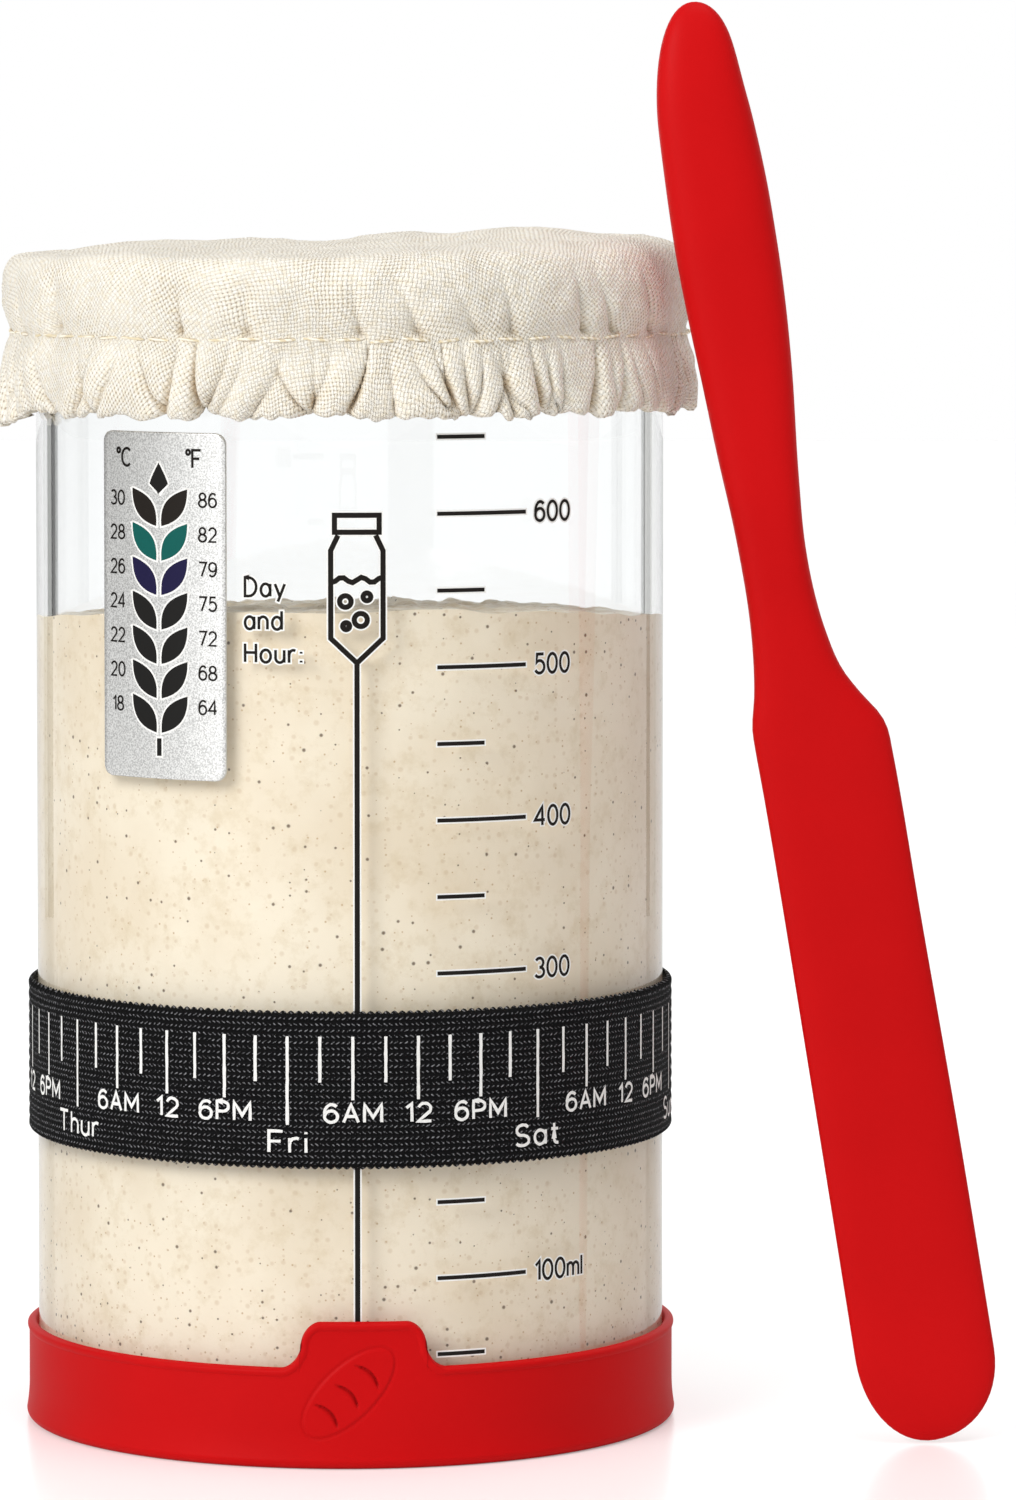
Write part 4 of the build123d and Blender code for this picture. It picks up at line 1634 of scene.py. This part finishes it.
@dataclass
class ClothCover:
    """The gathered cloth cap: a crowned top, a soft shoulder, a drawn seam and a ruffled hem."""

    front_columns: int = 430
    back_columns: int = 214
    profile: tuple[Pair, ...] = (
        (0, 159.2), (18, 159.4), (34, 159.5), (41.5, 159.2), (44.6, 158.2), (46.0, 156.2),
        (46.5, 153.2), (46.3, 150.2), (45.6, 147.3), (45.9, 145.2), (46.5, 142.0), (46.8, 139.4),
        (46.8, 138.0), (46.5, 137.4), (46.0, 137.4), (45.3, 138.4), (44.8, 140.6),
    )  # fmt: skip
    seam_point: int = 8
    edge_point: int = 13
    thickness: float = 0.45
    least_radius: float = 43.2
    flat_size: float = 148.0
    hem_creases: tuple[int, ...] = (
        -63, -47, -37, -26, -20, -11, -3, 3, 10, 15, 22, 27, 31, 37, 45, 51, 57, 70,
    )  # fmt: skip
    upper_folds: tuple[int, ...] = (-58, -29, -17, 2, 12, 22, 28, 43, 50)
    girth: float = 46.0
    sway_depth: float = 9.0
    crease_depths: Pair = (2.9, 2.0)
    crease_growth: float = 8.5
    fold_reach: float = 10.5
    pucker_reach: float = 3.5
    on_glass: float = 12.0
    curl: float = 2.6
    curl_turn: float = -1.43
    curl_width: float = 0.2
    curl_swell: float = 0.9
    ragged: Pair = (0.5, 0.4)
    stitches: int = 66
    stitch_length: float = 3.8
    stitch_radius: float = 0.17
    stitch_lift: float = 0.36
    stitch_dip: float = 0.3
    seed: int = 31

    def __post_init__(self) -> None:
        """Work out the lengths along the profile."""
        shape = np.array(self.profile)
        self.lengths = np.concatenate([[0], np.cumsum(np.hypot(*np.diff(shape, axis=0).T))])
        self.seam, self.edge = self.lengths[self.seam_point], self.lengths[self.edge_point]

    def fill(self, given: Sequence[int], rng: np.random.Generator) -> Grid:
        """Carry a row of folds on round the back at the same mean spacing.

        Args:
            given: the folds that the photograph shows, in degrees.
            rng: draws how far the others are from even places.

        Returns:
            All folds in radians.
        """
        gap = (given[-1] - given[0]) / (len(given) - 1)
        spare = 360 - (given[-1] - given[0])
        count = int(spare / gap) - 1
        more = given[-1] + spare * (np.arange(count) + 1 + rng.uniform(-0.3, 0.3, count)) / (count + 1)
        return np.radians(np.concatenate([given, more]))

    def folds(self, at: Grid, lean: Grid, width: Grid, depth: Grid, angle: Grid, down: Grid) -> Grid:
        """Sum of sharp valleys: each falls off with distance as a softened exponential.

        Below the seam a valley opens wider the further down it runs.

        Args:
            at: angle of each fold at the seam.
            lean: how far each runs sideways for a millimetre down, nine millimetres from the seam.
            width: half width of each in millimetres.
            depth: depth of each in millimetres.
            angle: angles of the points.
            down: distance of the points below the seam.

        Returns:
            The depth at each point.
        """
        total = np.zeros(np.broadcast(angle, down).shape)
        for a, sway, wide, deep in zip(at, lean, width, depth):
            aside = sway * down * np.where(down > 0, down / self.sway_depth, 1.0)
            opening = wide * (0.75 + 0.075 * np.clip(down, 0, 12))
            off = (wrapped(angle - a) * self.girth - aside) / opening
            total += deep * np.exp(0.2 - np.sqrt(off**2 + 0.04))
        return total

    def surface(self, angle: Grid, length: Grid) -> Grid:
        """Points of the cloth's middle at angles and lengths from the centre of the top.

        The turned profile gets soft waves on top, leaning folds above the seam, sharp creases
        below it that deepen towards the edge, and an edge that rises where a crease reaches it.
        Each crease of the hem has a second one close beside it.  At one place the edge curls
        down.

        Args:
            angle: angles of the points.
            length: lengths of the points.

        Returns:
            The points.
        """
        shape = np.array(self.profile)
        radius, z = smooth(self.lengths, shape[:, 0], length), smooth(self.lengths, shape[:, 1], length)
        radius, z = radius + 0 * angle, z + 0 * angle
        down = length - self.seam + 0 * angle
        rng = np.random.default_rng(self.seed)
        hem = self.fill(self.hem_creases, rng)
        beside = np.radians(rng.uniform(1.8, 4.4, len(hem))) * rng.choice([-1, 1], len(hem))
        deepest = np.repeat(self.crease_depths, len(hem))
        hem = np.concatenate([hem, hem + beside])
        count = len(hem)
        right = np.sin(hem) > 0
        creases = self.folds(
            hem,
            rng.uniform(-0.4, 0.45, count) + 0.14 * right,
            rng.uniform(0.2, 0.55, count),
            rng.uniform(0.5, 1.0, count) ** 2 * deepest * np.where(right, 1.0, 1.3),
            angle,
            down,
        )
        upper = self.fill(self.upper_folds, rng)
        count = len(upper)
        right = np.sin(upper) > 0
        rising = self.folds(
            upper,
            rng.uniform(-0.2, 0.3, count) + 0.3 * right,
            rng.uniform(0.9, 2.1, count),
            rng.uniform(0.8, 2.0, count),
            angle,
            down,
        )
        below = 1.05 * np.clip(down / self.crease_growth, 0, 1) ** 1.7 + 0.2 * np.clip(down / 0.8, 0, 1)
        above = np.clip(-down, 0, 1) * np.clip(1 + down / self.fold_reach, 0, 1) ** 1.2
        pucker = np.clip(1 - np.abs(down) / self.pucker_reach, 0, 1) ** 2
        around = angle * self.girth
        fine = waves(self.seed + 1, 30, 3.0, 9.0, around, down)
        soft = waves(self.seed + 2, 14, 12.0, 40.0, around, down * 0.6)
        side = np.clip((length - 38) / 8, 0, 1)
        puff = np.clip(np.sin(math.pi * np.clip(down / (self.edge - self.seam), 0, 1)), 0, 1)
        radius -= creases * below + rising * above + 0.35 * pucker * (fine + 0.3)
        radius += side * (0.16 * fine + 0.45 * soft * (1 - pucker)) + 0.3 * puff * (0.4 + soft)
        x, y = radius * np.sin(angle), -radius * np.cos(angle)
        top = np.clip(1 - (length - 40) / 9, 0, 1) ** 1.5 * np.clip(radius / 12, 0, 1)
        z += top * self.top_shape(x, y)
        hemmed = np.clip((down - 4) / 6, 0, 1)
        long, short = self.ragged
        ragged = long * waves(self.seed + 5, 10, 5.0, 24.0, around, 0 * down)
        ragged += short * waves(self.seed + 6, 24, 1.6, 4.5, around, 0 * down)
        z += hemmed * (0.3 * creases + ragged)
        curl = np.exp(-((wrapped(angle - self.curl_turn) / self.curl_width) ** 2)) * hemmed**2
        z -= self.curl * curl
        radius += self.curl_swell * curl
        radius = np.where(down > -self.on_glass, np.maximum(radius, self.least_radius), radius)
        return round_jar(angle, radius, z)

    def top_shape(self, x: Grid, y: Grid) -> Grid:
        """How far the cloth's top stands above its profile.

        It has seeded waves, a low hill at the right and a dip at the far left, and it falls
        towards the left and the front.

        Args:
            x: places to the right.
            y: places to the back.

        Returns:
            The rise at each place.
        """
        rise = 0.55 * waves(self.seed + 3, 12, 14.0, 46.0, x, y)
        rise += 0.12 * waves(self.seed + 4, 16, 3.5, 9.0, x, y)
        rise += 1.5 * np.exp(-(((x - 25) / 11) ** 2 + ((y + 6) / 22) ** 2))
        rise -= 1.6 * np.exp(-(((x + 45) / 7) ** 2)) + 1.15 * np.clip((18 - x) / 26, 0, 1)
        return rise - 0.9 * np.clip(-y / 44, 0, 1) ** 2 + 0.5 * np.clip(y / 44, 0, 1)

    def cloth(self, material: Material) -> Object:
        """Make the cloth as one sheet; its pattern is laid out as the flat circle it was cut from.

        Args:
            material: the woven cotton.

        Returns:
            The cloth.
        """
        front = np.linspace(-math.pi / 2, math.pi / 2, self.front_columns, endpoint=False)
        back = np.linspace(math.pi / 2, math.pi * 3 / 2, self.back_columns, endpoint=False)
        angle = np.concatenate([front, back])[:, None]
        end = self.lengths[-1]
        length = np.concatenate([[0.0, 1.5], np.linspace(4, 40, 11), np.linspace(40, end, 55)[1:]])[None, :]
        points = self.surface(angle, length)
        uv = np.stack([length * np.sin(angle), -length * np.cos(angle)], axis=-1)
        made = mesh_object("cloth_cap", points, grid_faces(*points.shape[:2], Close.AROUND), uv)
        join_points(made)
        wall = made.modifiers.new("thickness", "SOLIDIFY")
        wall.thickness, wall.offset = self.thickness * MM, 0.0
        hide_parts("cover_cloth")
        return finish_with(made, material, "cover")

    def seam_stitches(self, material: Material) -> Object:
        """Sew the running stitch: rounded threads whose ends dip into the cloth.

        Args:
            material: the thread.

        Returns:
            The stitches.
        """
        rng = np.random.default_rng(self.seed + 9)
        each = (self.stitches, 1)
        start = np.arange(self.stitches) * TURN / self.stitches
        t = np.linspace(-1, 1, THREAD_STEPS)
        long = self.stitch_length * rng.uniform(0.85, 1.12, each)
        angle = start[:, None] + t * long / 2 / self.girth
        line = self.surface(angle, np.full_like(angle, self.seam))
        tilt = rng.uniform(-0.22, 0.22, each) * t + rng.uniform(-0.18, 0.18, each)
        radius = np.hypot(line[..., 0], line[..., 1]) + self.stitch_lift - self.stitch_dip * t**4
        made = sew("seam_stitches", angle, radius, line[..., 2] + tilt, self.stitch_radius)
        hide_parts("cover_stitching")
        return finish_with(made, material, "cover")

    def build(self, weave: Material, thread: Material) -> None:
        """Args:
            weave: the woven cotton.
            thread: the sewing thread.
        """
        cap = self.cloth(weave)
        self.seam_stitches(thread)


@dataclass
class Spatula:
    """The silicone spatula that stands beside the jar, leaning towards it."""

    foot: Triple = (76.51, -25.8, 0.25)
    lean: float = 9.24
    power: float = 3.0
    ends: tuple[Triple, ...] = ((1.2, 12.5, 11.0), (-0.5, 16.0, 9.0))
    bend: float = 2.08
    fine_end: float = 12.0
    left: tuple[Pair, ...] = (
        (0, -7.65), (14, -7.6), (62, -7.57), (87, -7.68),
        (96.7, -7.85), (98.9, -7.55), (101.3, -6.95), (107.6, -6.1), (115.3, -5.75), (124.4, -5.97),
        (133.9, -6.59), (143.5, -7.06), (152.8, -7.55), (162.1, -7.8), (175.8, -7.5), (184, -7.1),
        (193.6, -6.75),
    )  # fmt: skip
    right: tuple[Pair, ...] = (
        (0, 10.9), (19.2, 10.87), (39.1, 10.8), (69.7, 10.37),
        (92.3, 10.1), (94.8, 9.95), (96.8, 9.3), (100, 7.2), (103.7, 5.2), (109.1, 3.85), (114.3, 3.2),
        (119.9, 3.0), (129.7, 3.6), (143.7, 4.95), (152.5, 5.5), (161, 5.68), (168.9, 5.6), (177.9, 5.05),
        (182.4, 4.58), (187, 4.25), (193.6, 4.5),
    )  # fmt: skip
    thickness: tuple[Pair, ...] = (
        (0, 0.5), (1, 1.5), (4, 2.6), (12, 3.3), (60, 3.4), (86, 3.9), (97, 4.9), (108, 5.9), (130, 6.7),
        (150, 7.4), (165, 7.6), (178, 7.3), (187, 6.0), (191, 4.2), (193.1, 2.0), (193.6, 0.6),
    )  # fmt: skip

    def build(self, silicone: Material) -> None:
        """Loft rounded sections along the leaning middle line.

        A section is a superellipse: its two halves reach to the left and the right edge, and
        its thickness follows its own curve.  At each end both edges close as superellipse
        quarters on a point of their own, so an end is one round.

        Args:
            silicone: its skin.
        """
        edges = [np.array(side) for side in (self.left, self.right, self.thickness)]
        length = self.left[-1][0]
        near = self.fine_end * (1 - np.cos(np.linspace(0, math.pi / 2, 16)))
        plain = np.linspace(self.fine_end, length - self.fine_end, 128)
        along = np.unique(np.concatenate([near, plain, length - near]))
        left, right, thick = (smooth(edge[:, 0], edge[:, 1], along)[None, :] for edge in edges)
        for (point, *reaches), gone in zip(self.ends, (along, length - along)):
            left_over = [np.clip(1 - gone / end, 0, 1) ** self.bend for end in reaches]
            rounds = [(1 - part) ** (1 / self.bend) for part in left_over]
            left, right = (point + (side - point) * shrink for side, shrink in zip((left, right), rounds))
        turn = np.linspace(0, TURN, 56, endpoint=False)[:, None]
        c, s = np.cos(turn), np.sin(turn)
        across = np.sign(c) * np.abs(c) ** (2 / self.power)
        deep = np.sign(s) * np.abs(s) ** (2 / self.power)
        middle, half = (left + right) / 2, (right - left) / 2
        v, w, u = middle + half * across, thick / 2 * deep, along[None, :] + 0 * turn
        lean = math.radians(self.lean)
        points = np.stack(
            [
                self.foot[0] - u * math.sin(lean) + v * math.cos(lean),
                self.foot[1] + w,
                self.foot[2] + u * math.cos(lean) + v * math.sin(lean),
            ],
            axis=-1,
        )
        caps = np.repeat(points.mean(axis=0, keepdims=True), len(points), axis=0)
        points = np.concatenate([caps[:, :1], points, caps[:, -1:]], axis=1)
        made = mesh_object("spatula_body", points, grid_faces(*points.shape[:2], Close.AROUND))
        join_points(made)
        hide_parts("spatula_skin")
        finish_with(made, silicone, "spatula")


@dataclass(frozen=True)
class Lamp:
    """A soft round lamp: where it hangs, what it aims at, its size and its power."""

    name: str
    place: Triple
    aim: Triple
    size: float
    power: float


@dataclass(frozen=True)
class Card:
    """Grey card that shines by itself, so that glass and gloss show it in one even tone.

    It is an upright arc about a point beside the jar's axis, from one angle to another.  Only
    a card behind the jar is seen through the glass.  The one in front turns white towards the
    floor and towards the viewer.
    """

    name: str
    start: float
    end: float
    aside: float
    colour: str
    distance: float = 620.0
    behind: bool = True
    foot: float = -5.0
    top: float = 520.0
    fade_height: float = 120.0
    fade_front: Pair = (-360.0, -20.0)

    def build(self) -> None:
        """Stand the card, unseen by the camera itself."""
        turns = np.radians(np.linspace(self.start, self.end, 9))[:, None]
        back = self.distance if self.behind else -self.distance
        x, y = self.aside + self.distance * np.sin(turns), back * np.cos(turns)
        x, y, z = np.broadcast_arrays(x, y, np.array([[self.foot, self.top]]))
        made = mesh_object(f"card_{self.name}", np.stack([x, y, z], axis=-1), grid_faces(9, 2))
        material = bpy.data.materials.new(f"card_{self.name}")
        tree = emptied(material)
        tone = linear(self.colour)
        if not self.behind:
            axes = add(tree, "SeparateXYZ", {0: add(tree, "TexCoord").outputs["Object"]}).outputs
            near, far = (at * MM for at in self.fade_front)
            low = add(tree, "MapRange", {0: axes[2], 1: 0.0, 2: self.fade_height * MM, 3: 1.0, 4: 0.0})
            front = add(tree, "MapRange", {0: axes[1], 1: near, 2: far, 3: 1.0, 4: 0.0})
            fade = add(tree, "Math", {0: low, 1: front}, operation="MAXIMUM")
            tone = add(tree, "Mix", {0: fade, 6: tone, 7: WHITE}, data_type="RGBA")
        add(tree, "OutputMaterial", {0: add(tree, "Emission", {0: tone})})
        made.data.materials.append(material)
        made.visible_camera = made.visible_diffuse = made.visible_shadow = False
        made.visible_transmission = self.behind


@dataclass
class Studio:
    """White sweep, soft lamps and the photograph's camera; none of it is part of the object."""

    eye: Triple = (0.0, -0.989, 0.176)
    pitch: float = 3.22
    bearing: float = 1.24
    lens: float = 175.5
    sensor: float = 36.0
    clip: Pair = (0.05, 50.0)
    rise: float = -0.147
    ambient: float = 0.49
    floor_half: float = 3000.0
    floor_colour: str = "f2f2f2"
    floor_roughness: float = 0.25
    glow: float = 0.3
    lamps: tuple[Lamp, ...] = (
        Lamp("key", (-0.94, -1.09, 0.75), (0, 0, 0.08), 0.8, 13.2),
        Lamp("top", (0.25, -0.35, 1.5), (0, 0, 0.05), 0.9, 6.5),
    )
    cards: tuple[Card, ...] = (
        Card("left_dark", -32.5, -40.0, -42.0, "1b1b1a"),
        Card("left_grey", -27.5, -32.5, -42.0, "b0b1ad"),
        Card("right_dark", 36.0, 40.5, 42.0, "5a5a58"),
        Card("right_grey", 27.5, 36.0, 42.0, "d4d4d1"),
        Card("side", -132.0, -48.0, 0.0, "6f6f6d", 480.0, behind=False),
    )

    def camera(self) -> None:
        """Set the camera at the photograph's eye: tilted down, turned a little right, and shifted."""
        data = bpy.data.cameras.new("camera")
        data.lens, data.sensor_width, data.shift_y = self.lens, self.sensor, self.rise
        data.clip_start, data.clip_end = self.clip
        made = bpy.data.objects.new("camera", data)
        made.location = self.eye
        made.rotation_euler = (math.radians(90 - self.pitch), 0, math.radians(-self.bearing))
        bpy.context.scene.collection.objects.link(made)
        bpy.context.scene.camera = made

    def light(self) -> None:
        """Hang the soft lamps, each aimed at its own point."""
        for lamp in self.lamps:
            data = bpy.data.lights.new(lamp.name, "AREA")
            data.shape, data.size, data.energy = "DISK", lamp.size, lamp.power
            made = bpy.data.objects.new(lamp.name, data)
            made.location = lamp.place
            way = Vector(lamp.aim) - Vector(lamp.place)
            made.rotation_euler = way.to_track_quat("-Z", "Y").to_euler()
            bpy.context.scene.collection.objects.link(made)

    def air(self) -> None:
        """Light the scene evenly; the camera, glass and gloss see plain white instead."""
        world = bpy.data.worlds.new("studio_air")
        bpy.context.scene.world = world
        tree = emptied(world)
        ray = add(tree, "LightPath").outputs
        shown = add(tree, "Math", {0: ray["Is Camera Ray"], 1: ray["Is Glossy Ray"]}, operation="MAXIMUM")
        seen = add(tree, "Math", {0: shown, 1: ray["Is Transmission Ray"]}, operation="MAXIMUM")
        strength = add(tree, "MapRange", {0: seen, 3: self.ambient, 4: 1.0})
        back = add(tree, "Background", {0: WHITE, 1: strength})
        add(tree, "OutputWorld", {0: back})

    def floor(self) -> None:
        """Lay the pale floor: white to the camera where it is lit, greyer in the shadow."""
        corners = self.floor_half * np.array([[-1, -1, 0], [1, -1, 0], [1, 1, 0], [-1, 1, 0]])
        made = mesh_object("floor", corners, [[0, 1, 2, 3]])
        material = bpy.data.materials.new("painted_floor_white")
        tree = emptied(material)
        ray = add(tree, "LightPath").outputs
        rays = {0: ray["Is Camera Ray"], 1: ray["Is Transmission Ray"]}
        shown = add(tree, "Math", rays, operation="MAXIMUM")
        glow = add(tree, "MapRange", {0: shown, 3: 0.0, 4: self.glow})
        paint = {"Base Color": linear(self.floor_colour), "Roughness": self.floor_roughness}
        coat = add(tree, "BsdfPrincipled", {**paint, "Emission Color": WHITE, "Emission Strength": glow})
        add(tree, "OutputMaterial", {0: coat})
        made.data.materials.append(material)

    def build(self) -> None:
        """Set up everything.

        The cards stand where the jar's edges bend the view to: each card behind it spans an
        angle outward of the edge that it darkens, and the one at the left side greys the
        shine of the silver strip.
        """
        self.camera()
        self.light()
        self.air()
        self.floor()
        for card in self.cards:
            card.build()


def dress_hidden(nodes: dict[str, Object]) -> None:
    """Give the CAD nodes that stay their materials: clear glue, ecru elastic and pale nylon.

    Args:
        nodes: the frame's CAD objects by node name.
    """
    stays = {
        "thermometer_adhesive": Ink("glue_film_clear", 0.3, "e6e4dc"),
        "cover_elastic": Thread("elastic_natural_covered", 0.85, "f4ecdb", "d8ccb4", 0.9),
        "spatula_core": Ink("nylon_natural", 0.5, "dcd8ca", 0.8, 0.01),
    }
    for name, finish in stays.items():
        nodes[name].data.materials.clear()
        nodes[name].data.materials.append(finish.build())
        log.info("%s keeps its solid with %s", name, finish.name)


def main() -> None:
    """Build every piece in order."""
    bpy.context.scene.view_settings.view_transform = "Standard"
    Studio().build()
    silicone = Silicone().build()
    white = Ink("ink_white_enamel", 0.4, "fbfaf6").build()
    black = Ink().build()
    FootSleeve().build(silicone)
    jar = GlassJar()
    jar.glass(JarGlass().build())
    jar.prints(black, white)
    Starter().build(Dough().build())
    Thermometer().build(SilverFilm().build(), black, white)
    DateBand().build(
        Knit().build(),
        Ink("ink_white_rubber", 0.7, "f4f3f0", 0.5, 0.05).build(),
        Thread("thread_black", 0.6, "3a3a3c", "151516").build(),
    )
    ClothCover().build(Woven().build(), Thread().build())
    Spatula().build(silicone)
    dress_hidden(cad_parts)


if __name__ == "__main__":
    logging.basicConfig(level=logging.INFO, format="%(name)s: %(message)s")
    main()
